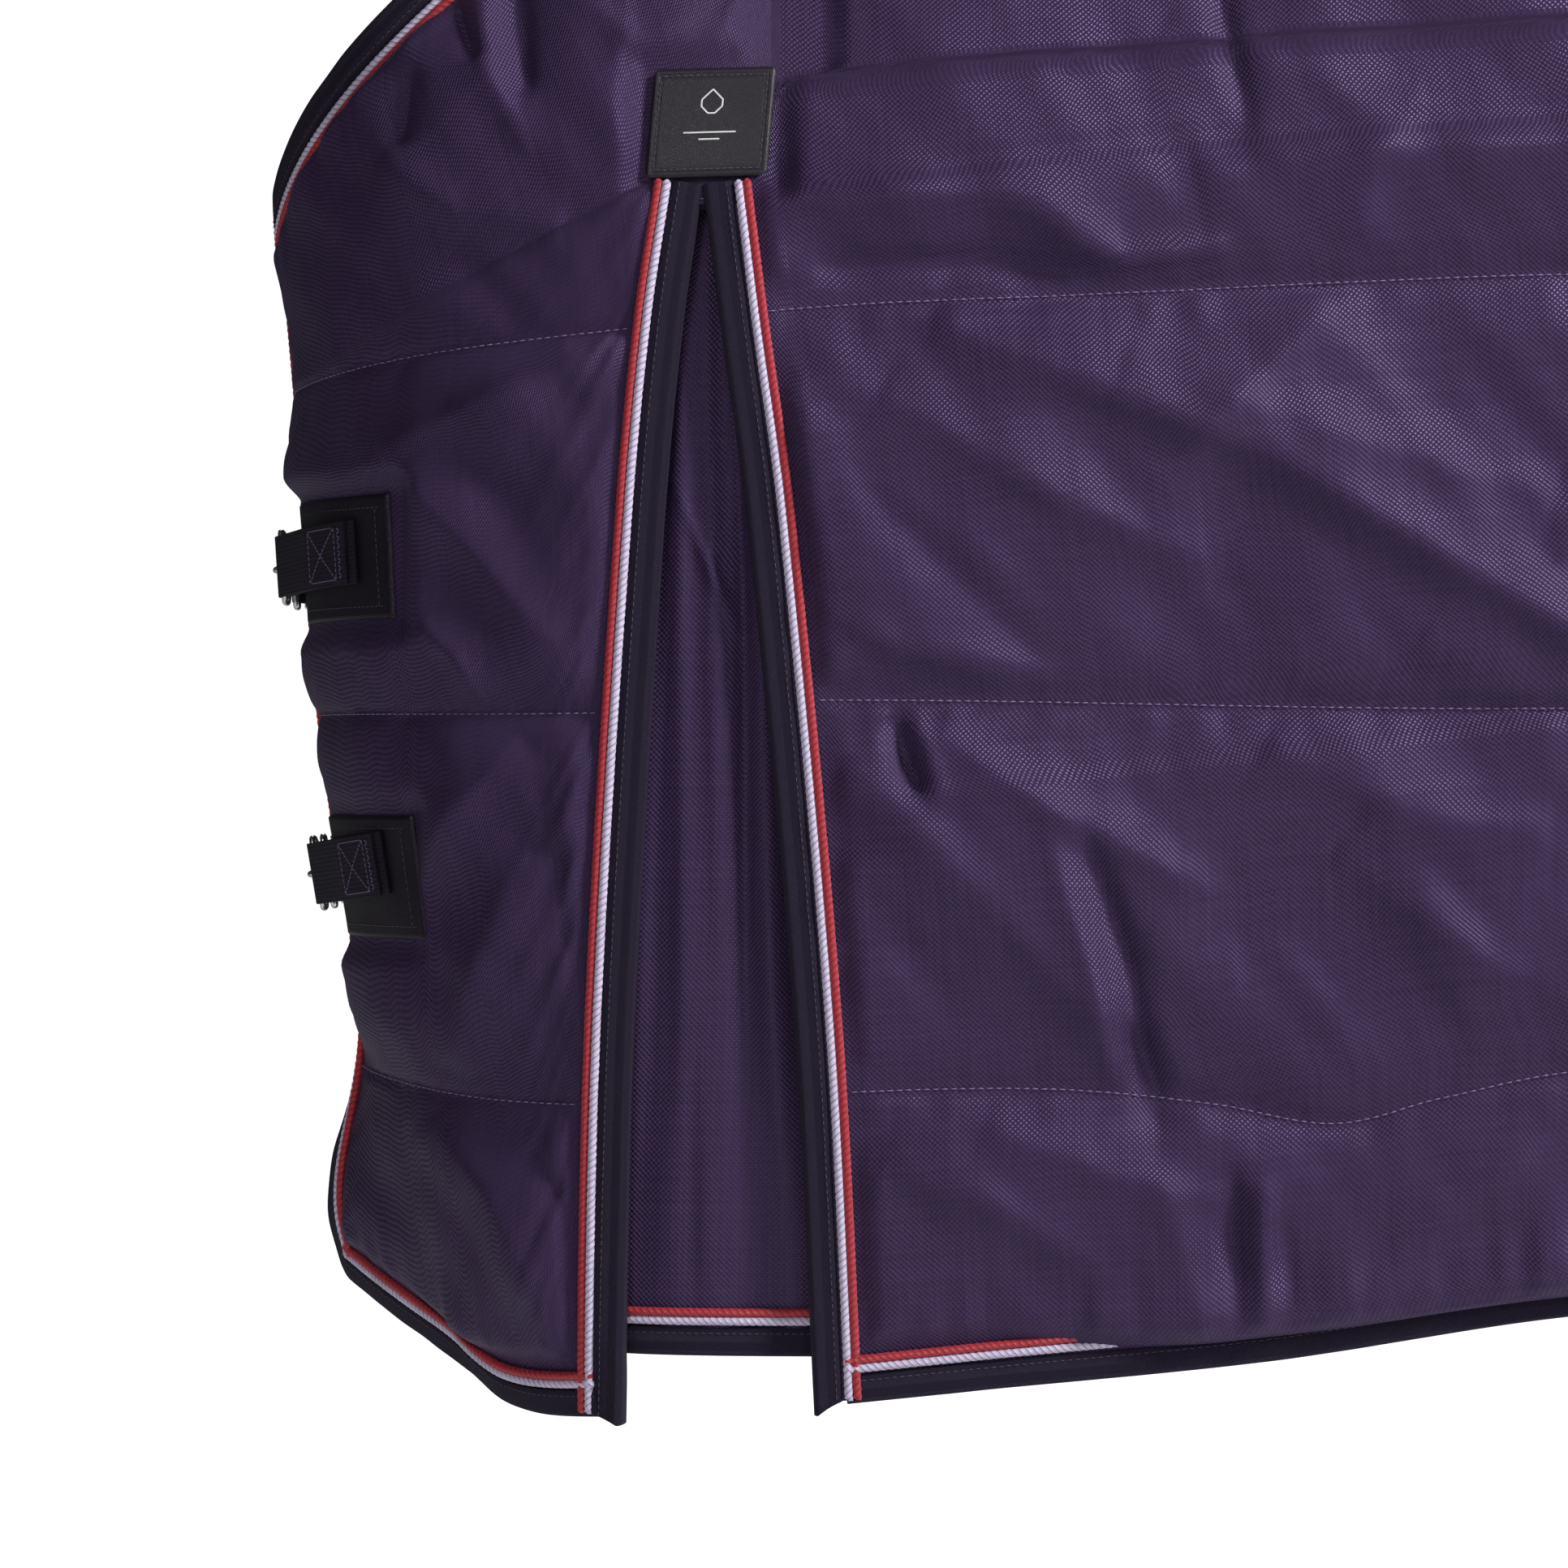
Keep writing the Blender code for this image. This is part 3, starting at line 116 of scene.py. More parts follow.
# ---- the form of the rug -------------------------------------------------------------------------
@dataclass(frozen=True)
class Form:
    """The smooth form that the rug hangs in. Lengths are in metres."""

    seam_x: float = -0.757
    rear_x: float = 0.90
    rear_top_x: float = 0.86
    croup_x: float = 0.62
    croup_reach: float = 0.40
    spine: Line = ((-0.76, 0.045), (-0.5, 0.038), (-0.2, 0.018), (0.0, 0.008), (0.3, 0.018),
                   (0.6, 0.008), (0.9, -0.07))
    width: Line = ((-0.76, 0.250), (-0.5, 0.262), (-0.2, 0.288), (0.1, 0.300), (0.4, 0.298),
                   (0.9, 0.290))
    drop: Line = ((-0.76, 0.40), (-0.4, 0.35), (0.0, 0.30), (0.9, 0.30))
    ridge: Line = ((-0.76, 1.30), (-0.3, 1.10), (0.0, 1.0), (0.9, 0.95))
    chest: Line = (
        (-1.05, -0.945),
        (-0.96, -0.984),
        (-0.83, -1.012),
        (-0.63, -1.045),
        (-0.43, -1.060),
        (-0.28, -1.072),
        (0.05, -1.078),
    )
    hem: Line = (
        (-0.757, -1.022),
        (-0.646, -1.010),
        (-0.479, -0.992),
        (-0.306, -0.964),
        (0.0, -0.935),
        (0.35, -0.935),
        (0.9, -0.955),
    )
    chest_hem: Line = ((0.0, -1.022), (25.0, -1.028), (52.0, -1.028), (70.0, -1.000),
                       (90.0, -0.960))
    slit_front: Line = ((-1.04, -0.852), (-0.80, -0.845), (-0.51, -0.8266), (-0.40, -0.816),
                        (-0.318, -0.8037))
    slit_rear: Line = ((-1.04, -0.7345), (-0.80, -0.747), (-0.51, -0.774), (-0.40, -0.789),
                       (-0.318, -0.7993))
    slit_top_z: float = -0.318
    front_gap: float = 0.060
    corner_radius: float = 0.006
    widest_share: float = 0.4167
    stack: float = 0.0080
    curl: float = 0.0080

    def widest(self, x: Array) -> Array:
        """Half the width at the widest level."""
        closing = np.maximum(0.0, (np.asarray(x) - self.croup_x) / self.croup_reach)
        return read_line(self.width, x) * np.sqrt(np.maximum(1 - closing**2.2, 0))

    def half_width(self, x: Array, z: Array) -> Array:
        """Half the width at a height, behind the chest seam.

        Args:
            x: Place along the rug.
            z: Height.

        Returns:
            Half the width, in metres.
        """
        spine, drop, wide = read_line(self.spine, x), read_line(self.drop, x), self.widest(x)
        down = (spine - z) / drop
        cosine = 1 - np.clip(down, 0, 1)
        upper = wide * np.maximum(1 - cosine**2, 0) ** (read_line(self.ridge, x) / 2)
        return np.where(down >= 1, wide - 0.012 * ((spine - drop - z) / 0.65) ** 2, upper)

    def section_z(self, x: Array, t: Array) -> Array:
        """Height of a share t of the way from the spine to the hem.

        Args:
            x: Place along the rug.
            t: Share of the way down.

        Returns:
            The height, in metres.
        """
        top, drop = read_line(self.spine, x), read_line(self.drop, x)
        upper = top - drop * (1 - np.cos(np.pi / 2 * np.minimum(t / self.widest_share, 1)))
        share = (t - self.widest_share) / (1 - self.widest_share)
        lower = top - drop + (read_line(self.hem, x) - top + drop) * share
        return np.where(np.asarray(t) < self.widest_share, upper, lower)

    def front_angle(self) -> float:
        """The angle round the chest at which a front edge stands, in degrees."""
        half = float(self.widest(self.seam_x))
        return math.degrees(math.acos((self.front_gap / 2 / half) ** (1 / 0.75)))

    def neck_z(self, angle: Array) -> Array:
        """Height of the neckline round the chest."""
        fall = 0.243 * (np.maximum(angle, 0) / 42.0) ** 0.593
        return read_line(self.spine, self.seam_x) - fall - 0.025 * smooth(angle, 78, 90)

    def hem_z(self, angle: Array) -> Array:
        """Height of the chest panel's hem, with its front corner rounded."""
        y = self.widest(self.seam_x) * np.cos(np.radians(angle)) ** 0.75
        radius = self.corner_radius
        short = np.clip(radius - np.maximum(0.0, y - self.front_gap / 2), 0, radius)
        return read_line(self.chest_hem, angle) + radius - np.sqrt(radius**2 - short**2)

    def chest_point(self, angle: Array, z: Array, side: Side) -> Array:
        """The point at an angle round the chest and a height.

        Args:
            angle: Degrees round the chest from the seam.
            z: Height.
            side: The side of the horse.

        Returns:
            The points, on a last axis of 3.
        """
        turned = np.radians(angle)
        reach = self.seam_x - read_line(self.chest, z)
        flare = 0.045 * np.clip((angle - 62) / 24.6, 0,
                                1) ** 1.4 * smooth(-0.80 - np.asarray(z), 0, 0.14)
        x = self.seam_x - reach * np.sin(turned) ** 0.9 - flare
        y = side.value * self.half_width(self.seam_x, z) * np.cos(turned) ** 0.75
        x = x + self.curl * (1 - smooth(np.abs(y), 0.030, 0.085)) * (1 - smooth(-0.74 - np.asarray(z), 0, 0.10))
        return np.stack(np.broadcast_arrays(x, y, z), -1)

    def surface(self, c: Array, t: Array, side: Side) -> Array:
        """The outer face.

        Args:
            c: Minus the angle round the chest in degrees, or metres behind the chest seam.
            t: Share of the way down, from the spine or neckline to the hem.
            side: The side of the horse.

        Returns:
            The points, on a last axis of 3.
        """
        c, t = np.broadcast_arrays(np.asarray(c, float), np.asarray(t, float))
        x = self.seam_x + np.maximum(c, 0)
        z = self.section_z(x, t)
        behind = np.stack([x, side.value * self.half_width(x, z), z], -1)
        angle = np.maximum(-c, 0)
        top = read_line(self.spine, self.seam_x)
        share = (top - self.section_z(self.seam_x, t)) / (top - read_line(self.hem, self.seam_x))
        ahead = self.chest_point(angle, self.chest_z(angle, share), side)
        return np.where((c >= 0)[..., None], behind, ahead)

    def chest_z(self, angle: Array, share: Array) -> Array:
        """Height at a share of the way down the chest panel."""
        top, low = read_line(self.spine, self.seam_x), read_line(self.hem, self.seam_x)
        rise = (top - self.neck_z(angle)) * (1 - share) ** 2
        return top + (low - top) * share - rise + (self.hem_z(angle) - low) * share

    def section_t(self, x: Array, z: Array) -> Array:
        """The share of the way down at which a section has a height."""
        top, drop = read_line(self.spine, x), read_line(self.drop, x)
        upper = np.arccos(np.clip(1 - (top - z) / drop, -1, 1)) * 2 / np.pi * self.widest_share
        lower = (top - drop - z) / (top - drop - read_line(self.hem, x))
        return np.where(top - z < drop, upper, self.widest_share + (1 - self.widest_share) * lower)

    def c_of_x(self, x: Array, z: Array) -> Array:
        """The place along the rug of an X at a height."""
        share = np.clip((self.seam_x - x) / (self.seam_x - read_line(self.chest, z)), 0, 1)
        return np.where(x >= self.seam_x, x - self.seam_x,
                        -np.degrees(np.arcsin(share ** (1 / 0.9))))

    def edge_x(self, line: Line, z: Array) -> Array:
        """The X of the edge that faces a slit: the slit's own line, and the chest seam above it."""
        up = smooth(z, self.slit_top_z, self.slit_top_z + 0.064)
        return read_line(line, z) * (1 - up) + self.seam_x * up

    def edge_places(self, line: Line, count: int) -> tuple[Array, Array]:
        """The places of an edge that faces a slit.

        Args:
            line: The slit's line on that side.
            count: How many places, from the spine or neckline to the hem.

        Returns:
            The place along the rug and the share of the way down, as columns.
        """
        top, hem = read_line(self.spine, self.seam_x), read_line(self.hem, self.seam_x)
        low = hem
        for _ in range(12):
            x = self.edge_x(line, low)
            angle = np.maximum(-self.c_of_x(x, low), 0)
            low = np.where(x >= self.seam_x, read_line(self.hem, x), self.hem_z(angle))
        z = self.section_z(self.seam_x, np.linspace(0, 1, count)[:, None])
        z = top + (z - top) * (top - low) / (top - hem)
        x = self.edge_x(line, z)
        c = self.c_of_x(x, z)
        angle = np.maximum(-c, 0)
        rise = top - self.neck_z(angle)
        slope = hem - top + 2 * rise + self.hem_z(angle) - hem
        left = top - rise - z
        share = 2 * left / (np.sqrt(slope**2 + 4 * rise * left) - slope)
        ahead = self.section_t(self.seam_x, top - share * (top - hem))
        return c, np.where(c >= 0, self.section_t(x, z), ahead)

    def place(self, x: Array, z: Array, side: Side) -> Array:
        """The outer face at an X and a height."""
        x, z = np.broadcast_arrays(np.asarray(x, float), np.asarray(z, float))
        c = self.c_of_x(x, z)
        behind = np.stack([x, side.value * self.half_width(x, z), z], -1)
        return np.where((c >= 0)[..., None], behind, self.chest_point(np.maximum(-c, 0), z, side))

    def outward(self, x: Array, z: Array, side: Side) -> Array:
        """The level direction away from the outer face at an X and a height."""
        ahead = self.place(np.asarray(x) + 0.004, z,
                           side) - self.place(np.asarray(x) - 0.004, z, side)
        out = unit(np.stack([ahead[..., 1], -ahead[..., 0], np.zeros_like(ahead[..., 0])], -1))
        return out * np.where(out[..., 1:2] * side.value > 0, 1.0, -1.0)


FORM = Form()


# ---- meshes --------------------------------------------------------------------------------------
class Patchwork:
    """Gathers grids of points into one mesh with a UV map in metres."""

    def __init__(self) -> None:
        """Starts with no grids."""
        self.points: list[Array] = []
        self.faces: list[Array] = []
        self.coords: list[Array] = []
        self.count = 0

    def add(self, points: Array, coords: Array | None = None, flip: bool = False) -> None:
        """Adds one grid.

        Args:
            points: Points by row and column.
            coords: UV by row and column, in metres. Arc lengths if left out.
            flip: Turns the faces round.
        """
        rows, columns = points.shape[:2]
        if coords is None:
            coords = arc_coords(points)
        index = np.arange(rows * columns).reshape(rows, columns)
        quads = [index[:-1, :-1], index[1:, :-1], index[1:, 1:], index[:-1, 1:]]
        quads = np.stack(quads[::-1] if flip else quads, -1).reshape(-1, 4)
        self.points.append(points.reshape(-1, 3))
        self.coords.append(coords.reshape(-1, 2))
        self.faces.append(quads + self.count)
        self.count += rows * columns

    def build(self, name: str, finish: bpy.types.Material, body: str = "rug") -> bpy.types.Object:
        """Makes the object and lets it ride on a body.

        Args:
            name: The piece's name.
            finish: Its material.
            body: The CAD body that it moves with.

        Returns:
            The new object.
        """
        mesh = bpy.data.meshes.new(name)
        faces = np.concatenate(self.faces)
        coords = np.concatenate(self.coords)
        mesh.from_pydata(np.concatenate(self.points).tolist(), [], faces.tolist())
        layer = mesh.uv_layers.new(name="cloth")
        layer.data.foreach_set("uv", coords[faces.ravel()].astype(np.float32).ravel())
        mesh.polygons.foreach_set("use_smooth", np.ones(len(faces), bool))
        mesh.materials.append(finish)
        mesh.update()
        made = bpy.data.objects.new(name, mesh)
        bpy.context.scene.collection.objects.link(made)
        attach(made, body)
        LOG.info("%s: %d faces", name, len(faces))
        return made


# One turn round a cord, in the metres of its UV.
CORD_ROUND = 0.0157


def arc_coords(points: Array) -> Array:
    """Arc lengths along the columns and down the rows of a grid, as UV in metres.

    Args:
        points: Points by row and column.

    Returns:
        A pair of lengths for each point.
    """
    steps = np.linalg.norm(np.diff(points, axis=1), axis=-1)
    downs = np.linalg.norm(np.diff(points, axis=0), axis=-1)
    across = np.concatenate([np.zeros((len(points), 1)), np.cumsum(steps, 1)], 1)
    down = np.concatenate([np.zeros((1, points.shape[1])), np.cumsum(downs, 0)], 0)
    return np.stack([across, down], -1)


def grid_normals(points: Array, away_from: Array) -> Array:
    """Unit normals of a grid of points.

    Args:
        points: Points by row and column.
        away_from: A point, or one for each grid point, that the normals point away from.

    Returns:
        The normals, all on one side of the sheet.
    """
    n = unit(np.cross(np.gradient(points, axis=1), np.gradient(points, axis=0)))
    return n if np.median(np.sum(n * (points - away_from), -1)) > 0 else -n


def sweep(path: Array, across: Array, up: Array, section: Array) -> Array:
    """Rings of a section along a path.

    Args:
        path: Points of the path.
        across: The direction of the section's first coordinate at each point.
        up: The direction of its second coordinate.
        section: Corners of the section.

    Returns:
        A grid with a row for each point and a column for each corner.
    """
    return path[:, None] + across[:, None] * section[None, :, :1] + up[:, None] * section[None, :, 1:]


def strap_section(width: float, thickness: float) -> Array:
    """A closed webbing section with rounded edges.

    Args:
        width: Width of the webbing.
        thickness: Its thickness.

    Returns:
        The section's corners, closed.
    """
    turn = np.linspace(-np.pi / 2, np.pi / 2, 5)
    r = thickness / 2
    right = np.stack([width / 2 - r + r * np.cos(turn), r * np.sin(turn)], -1)
    fill = np.linspace(1, -1, 9)[1:-1, None] * (width / 2 - r)
    top = np.concatenate([fill, np.full_like(fill, r)], 1)
    low = np.concatenate([fill[::-1], np.full_like(fill, -r)], 1)
    return np.concatenate([right, top, -right, low, right[:1]])


def resample(path: Array, step: float) -> Array:
    """The same path with points about a step apart."""
    along = np.concatenate([[0], np.cumsum(np.linalg.norm(np.diff(path, axis=0), axis=1))])
    at = np.linspace(0, along[-1], max(3, int(along[-1] / step) + 1))
    return np.stack([np.interp(at, along, path[:, k]) for k in range(3)], -1)


def round_path(path: Array, step: float, passes: int = 2) -> Array:
    """A path with its corners cut round, and points about a step apart.

    Args:
        path: Points of the path.
        step: Distance between the new points.
        passes: How many times its corners are cut.

    Returns:
        The rounded path.
    """
    for _ in range(passes):
        low, high = path[:-1] * 0.75 + path[1:] * 0.25, path[:-1] * 0.25 + path[1:] * 0.75
        cut = np.stack([low, high], 1).reshape(-1, 3)
        path = np.concatenate([path[:1], cut, path[-1:]])
    return resample(path, step)


def spread(directions: Array, count: int) -> Array:
    """Directions along a line read again at a count of evenly spaced places."""
    at, old = np.linspace(0, len(directions) - 1, count), np.arange(len(directions))
    return unit(np.stack([np.interp(at, old, directions[:, k]) for k in range(3)], -1))


def smoothed(directions: Array, kernel: Array) -> Array:
    """Directions along a line, averaged with their neighbours by an odd kernel."""
    ends = len(kernel) // 2
    padded = [directions[:1].repeat(ends, 0), directions, directions[-1:].repeat(ends, 0)]
    padded = np.concatenate(padded)
    return unit(np.stack([np.convolve(padded[:, k], kernel, "valid") for k in range(3)], -1))


def tangents(path: Array) -> Array:
    """Unit directions along a path."""
    return unit(np.gradient(path, axis=0))


# ---- shader building -----------------------------------------------------------------------------
class Nodes:
    """Builds the nodes of one tree."""

    def __init__(self, tree: bpy.types.NodeTree) -> None:
        """Takes the tree to build in."""
        self.tree = tree

    def add(self, kind: str, **settings: object) -> bpy.types.Node:
        """A new node with its settings."""
        node = self.tree.nodes.new(kind)
        for name, value in settings.items():
            setattr(node, name, value)
        return node

    def link(self, source: object, target: bpy.types.NodeSocket) -> None:
        """Feeds a socket from another socket, or sets it to a value."""
        if isinstance(source, bpy.types.NodeSocket):
            self.tree.links.new(source, target)
        else:
            target.default_value = source

    def math(self, operation: str, *values: object) -> bpy.types.NodeSocket:
        """A Math node on up to three values."""
        node = self.add("ShaderNodeMath", operation=operation)
        for value, socket in zip(values, node.inputs):
            self.link(value, socket)
        return node.outputs[0]

    def blend(self, share: object, low: object, high: object) -> bpy.types.NodeSocket:
        """A colour between two colours."""
        node = self.add("ShaderNodeMix", data_type="RGBA")
        for value, socket in ((share, node.inputs[0]), (low, node.inputs[6]),
                              (high, node.inputs[7])):
            self.link(value, socket)
        return node.outputs[2]

    def span(self, value: object, low: float, high: float, out_low: float,
             out_high: float) -> bpy.types.NodeSocket:
        """A value mapped from one range to another, and kept inside it."""
        node = self.add("ShaderNodeMapRange")
        for given, socket in zip((value, low, high, out_low, out_high), node.inputs):
            self.link(given, socket)
        return node.outputs[0]

    def noise(self, vector: object, scale: float, detail: float = 2.0,
              stretch: tuple = (1.0, 1.0, 1.0)) -> bpy.types.NodeSocket:
        """A noise texture, stretched along its axes.

        Args:
            vector: The place that it is read at.
            scale: Its scale.
            detail: Its octaves.
            stretch: Scale along each axis.

        Returns:
            The socket of its value.
        """
        mapping = self.add("ShaderNodeMapping")
        self.link(vector, mapping.inputs[0])
        mapping.inputs["Scale"].default_value = stretch
        texture = self.add("ShaderNodeTexNoise")
        self.link(mapping.outputs[0], texture.inputs["Vector"])
        texture.inputs["Scale"].default_value = scale
        texture.inputs["Detail"].default_value = detail
        return texture.outputs[0]


class Effect(Enum):
    """Shader effects that several finishes share."""

    WEAVE = "plain_weave"
    TWILL = "herringbone_twill"
    WEBBING = "ribbed_webbing"
    GRAIN = "leather_grain"
    DUST = "dust_and_wear"
    STRAND = "laid_strands"


class Effects:
    """Builds each shared node group once."""

    def __init__(self) -> None:
        """Starts with no groups."""
        self.made: dict[Effect, bpy.types.NodeTree] = {}

    def get(self, effect: Effect) -> bpy.types.NodeTree:
        """The node group of an effect."""
        if effect not in self.made:
            self.made[effect] = getattr(self, "_" + effect.name.lower())(effect.value)
        return self.made[effect]

    def _start(self, name: str, inputs: dict[str, float]) -> tuple[Nodes, dict, dict]:
        """A new group with a vector input, number inputs, and Height and Tone outputs.

        Args:
            name: The group's name.
            inputs: Names and usual values of its number inputs.

        Returns:
            Its node builder, its input sockets and its output sockets.
        """
        tree = bpy.data.node_groups.new(name, "ShaderNodeTree")
        tree.interface.new_socket("Place", in_out="INPUT", socket_type="NodeSocketVector")
        for label, value in inputs.items():
            socket = tree.interface.new_socket(label, in_out="INPUT", socket_type="NodeSocketFloat")
            socket.default_value = value
        for label in ("Height", "Tone"):
            tree.interface.new_socket(label, in_out="OUTPUT", socket_type="NodeSocketFloat")
        nodes = Nodes(tree)
        given, result = nodes.add("NodeGroupInput"), nodes.add("NodeGroupOutput")
        return nodes, {s.name: s for s in given.outputs}, {s.name: s for s in result.inputs}

    def _threads(self, n: Nodes, given: dict) -> tuple[bpy.types.NodeSocket, bpy.types.NodeSocket]:
        """The place along each of the two thread directions, counted in threads.

        Args:
            n: Builder of the group's nodes.
            given: The group's inputs by name.

        Returns:
            The two counts.
        """
        split = n.add("ShaderNodeSeparateXYZ")
        n.link(given["Place"], split.inputs[0])
        return (
            n.math("DIVIDE", split.outputs[0], given["Pitch"]),
            n.math("DIVIDE", split.outputs[1], given["Pitch"]),
        )

    def _weave(self, name: str) -> bpy.types.NodeTree:
        """Plain weave: crowns in a checkerboard, painted lighter than the low checks as painted shade, with threads of
        slightly different colour.

        Args:
            name: The node group's name.

        Returns:
            The node group's tree.
        """
        n, given, result = self._start(name, {"Pitch": 0.0016, "Slub": 0.5})
        a, b = self._threads(n, given)
        sines = [n.math("SINE", n.math("MULTIPLY", v, math.pi)) for v in (a, b)]
        crown = n.math("MULTIPLY", sines[0], sines[1])
        height = n.math("MULTIPLY_ADD", crown, 0.5, 0.5)
        warp = n.noise(given["Place"], 1.0, 2.0, (620.0, 9.0, 1.0))
        weft = n.noise(given["Place"], 1.0, 2.0, (9.0, 620.0, 1.0))
        slub = n.math("MULTIPLY", n.math("SUBTRACT", n.math("ADD", warp, weft), 1.0), given["Slub"])
        n.link(height, result["Height"])
        # Tone: painted shade from the crowns (raised checks lighter, low checks darker) plus the slub, the threads' own
        # colour.
        n.link(n.math("ADD", n.math("MULTIPLY_ADD", crown, 0.22, 0.5), slub), result["Tone"])
        return n.tree

    def _twill(self, name: str) -> bpy.types.NodeTree:
        """Herringbone twill: diagonal ribs that turn back at each column, painted lighter on their crowns and darker
        between them as painted shade.

        Args:
            name: The node group's name.

        Returns:
            The node group's tree.
        """
        n, given, result = self._start(name, {"Pitch": 0.0015, "Column": 0.0052})
        split = n.add("ShaderNodeSeparateXYZ")
        n.link(given["Place"], split.inputs[0])
        turn = n.math("PINGPONG", split.outputs[0], given["Column"])
        lean = n.math("DIVIDE", n.math("ADD", split.outputs[1], turn), given["Pitch"])
        rib = n.math("MULTIPLY_ADD", n.math("SINE", n.math("MULTIPLY", lean, 2 * math.pi)), 0.5,
                     0.5)
        thread = n.noise(given["Place"], 1400.0, 1.0)
        n.link(n.math("MULTIPLY_ADD", thread, 0.35, rib), result["Height"])
        # Tone: painted shade from the ribs, lighter on their crowns and darker between them, plus the threads' own
        # random tone.
        n.link(n.math("MULTIPLY_ADD", rib, 0.6, n.math("MULTIPLY", thread, 0.4)), result["Tone"])
        return n.tree

    def _webbing(self, name: str) -> bpy.types.NodeTree:
        """Webbing: fine ribs across the strap with rows of binder threads along it, painted darker in the hollows as
        painted shade.

        Args:
            name: The node group's name.

        Returns:
            The node group's tree.
        """
        n, given, result = self._start(name, {"Pitch": 0.0013})
        a, b = self._threads(n, given)
        ribs = n.math("ABSOLUTE", n.math("SINE", n.math("MULTIPLY", b, math.pi)))
        shift = n.math("MULTIPLY", n.math("FLOOR", n.math("MULTIPLY", a, 0.5)), 0.5)
        binder = n.math("SINE", n.math("MULTIPLY", n.math("ADD", n.math("MULTIPLY", b, 0.5), shift), 2 * math.pi))
        rows = n.math("ABSOLUTE", n.math("SINE", n.math("MULTIPLY", a, math.pi / 2)))
        height = n.math("ADD", n.math("MULTIPLY", ribs, rows), n.math("MULTIPLY", binder, 0.2))
        n.link(height, result["Height"])
        # Tone follows the height: painted shade in the hollows between ribs and binders.
        n.link(n.math("MULTIPLY_ADD", height, 0.5, 0.25), result["Tone"])
        return n.tree

    def _grain(self, name: str) -> bpy.types.NodeTree:
        """Leather grain: small rounded cells with fine creases between them, painted darker in the creases as painted
        shade.

        Args:
            name: The node group's name.

        Returns:
            The node group's tree.
        """
        n, given, result = self._start(name, {"Pitch": 0.0012})
        cells = n.add("ShaderNodeTexVoronoi", feature="DISTANCE_TO_EDGE")
        scaled = n.add("ShaderNodeVectorMath", operation="SCALE")
        n.link(given["Place"], scaled.inputs[0])
        n.link(n.math("DIVIDE", 1.0, given["Pitch"]), scaled.inputs["Scale"])
        n.link(scaled.outputs[0], cells.inputs["Vector"])
        cells.inputs["Scale"].default_value = 1.0
        crease = n.span(cells.outputs[0], 0.0, 0.25, 0.0, 1.0)
        fine = n.noise(given["Place"], 900.0, 3.0)
        n.link(n.math("MULTIPLY_ADD", fine, 0.3, crease), result["Height"])
        # Tone: painted shade darkening the creases, plus the grain's own fine mottle.
        n.link(n.math("MULTIPLY_ADD", fine, 0.4, n.math("MULTIPLY", crease, 0.6)), result["Tone"])
        return n.tree

    def _dust(self, name: str) -> bpy.types.NodeTree:
        """Soft cloudy marks at two scales, for faint dust and rubbed places.

        Args:
            name: The node group's name.

        Returns:
            The node group's tree.
        """
        n, given, result = self._start(name, {"Amount": 0.5})
        broad = n.noise(given["Place"], 7.0, 4.0)
        fine = n.noise(given["Place"], 180.0, 2.0)
        cloud = n.span(broad, 0.35, 0.75, 0.0, 1.0)
        n.link(n.math("MULTIPLY", n.math("MULTIPLY", cloud, fine), given["Amount"]), result["Tone"])
        n.link(fine, result["Height"])
        return n.tree

    def _strand(self, name: str) -> bpy.types.NodeTree:
        """Fine fibres that lie along a laid cord's strands, with painted shade darkening the grooves between the
        strands.

        Args:
            name: The node group's name.

        Returns:
            The node group's tree.
        """
        n, given, result = self._start(name, {"Pitch": 0.0120})
        split = n.add("ShaderNodeSeparateXYZ")
        n.link(given["Place"], split.inputs[0])
        turn = n.math("DIVIDE", split.outputs[1], given["Pitch"])
        lean = n.math("SUBTRACT", n.math("DIVIDE", split.outputs[0], CORD_ROUND), turn)
        strand = n.math("ABSOLUTE", n.math("SINE", n.math("MULTIPLY", lean, 3 * math.pi)))
        fibre = n.math("SINE", n.math("MULTIPLY", lean, 34 * math.pi))
        n.link(n.math("MULTIPLY_ADD", fibre, 0.12, strand), result["Height"])
        # Tone: painted shade in the grooves between the strands, with faint fibre lines.
        n.link(n.math("MULTIPLY_ADD", fibre, 0.08, n.span(strand, 0.0, 0.55, 0.0, 1.0)),
               result["Tone"])
        return n.tree


EFFECTS = Effects()


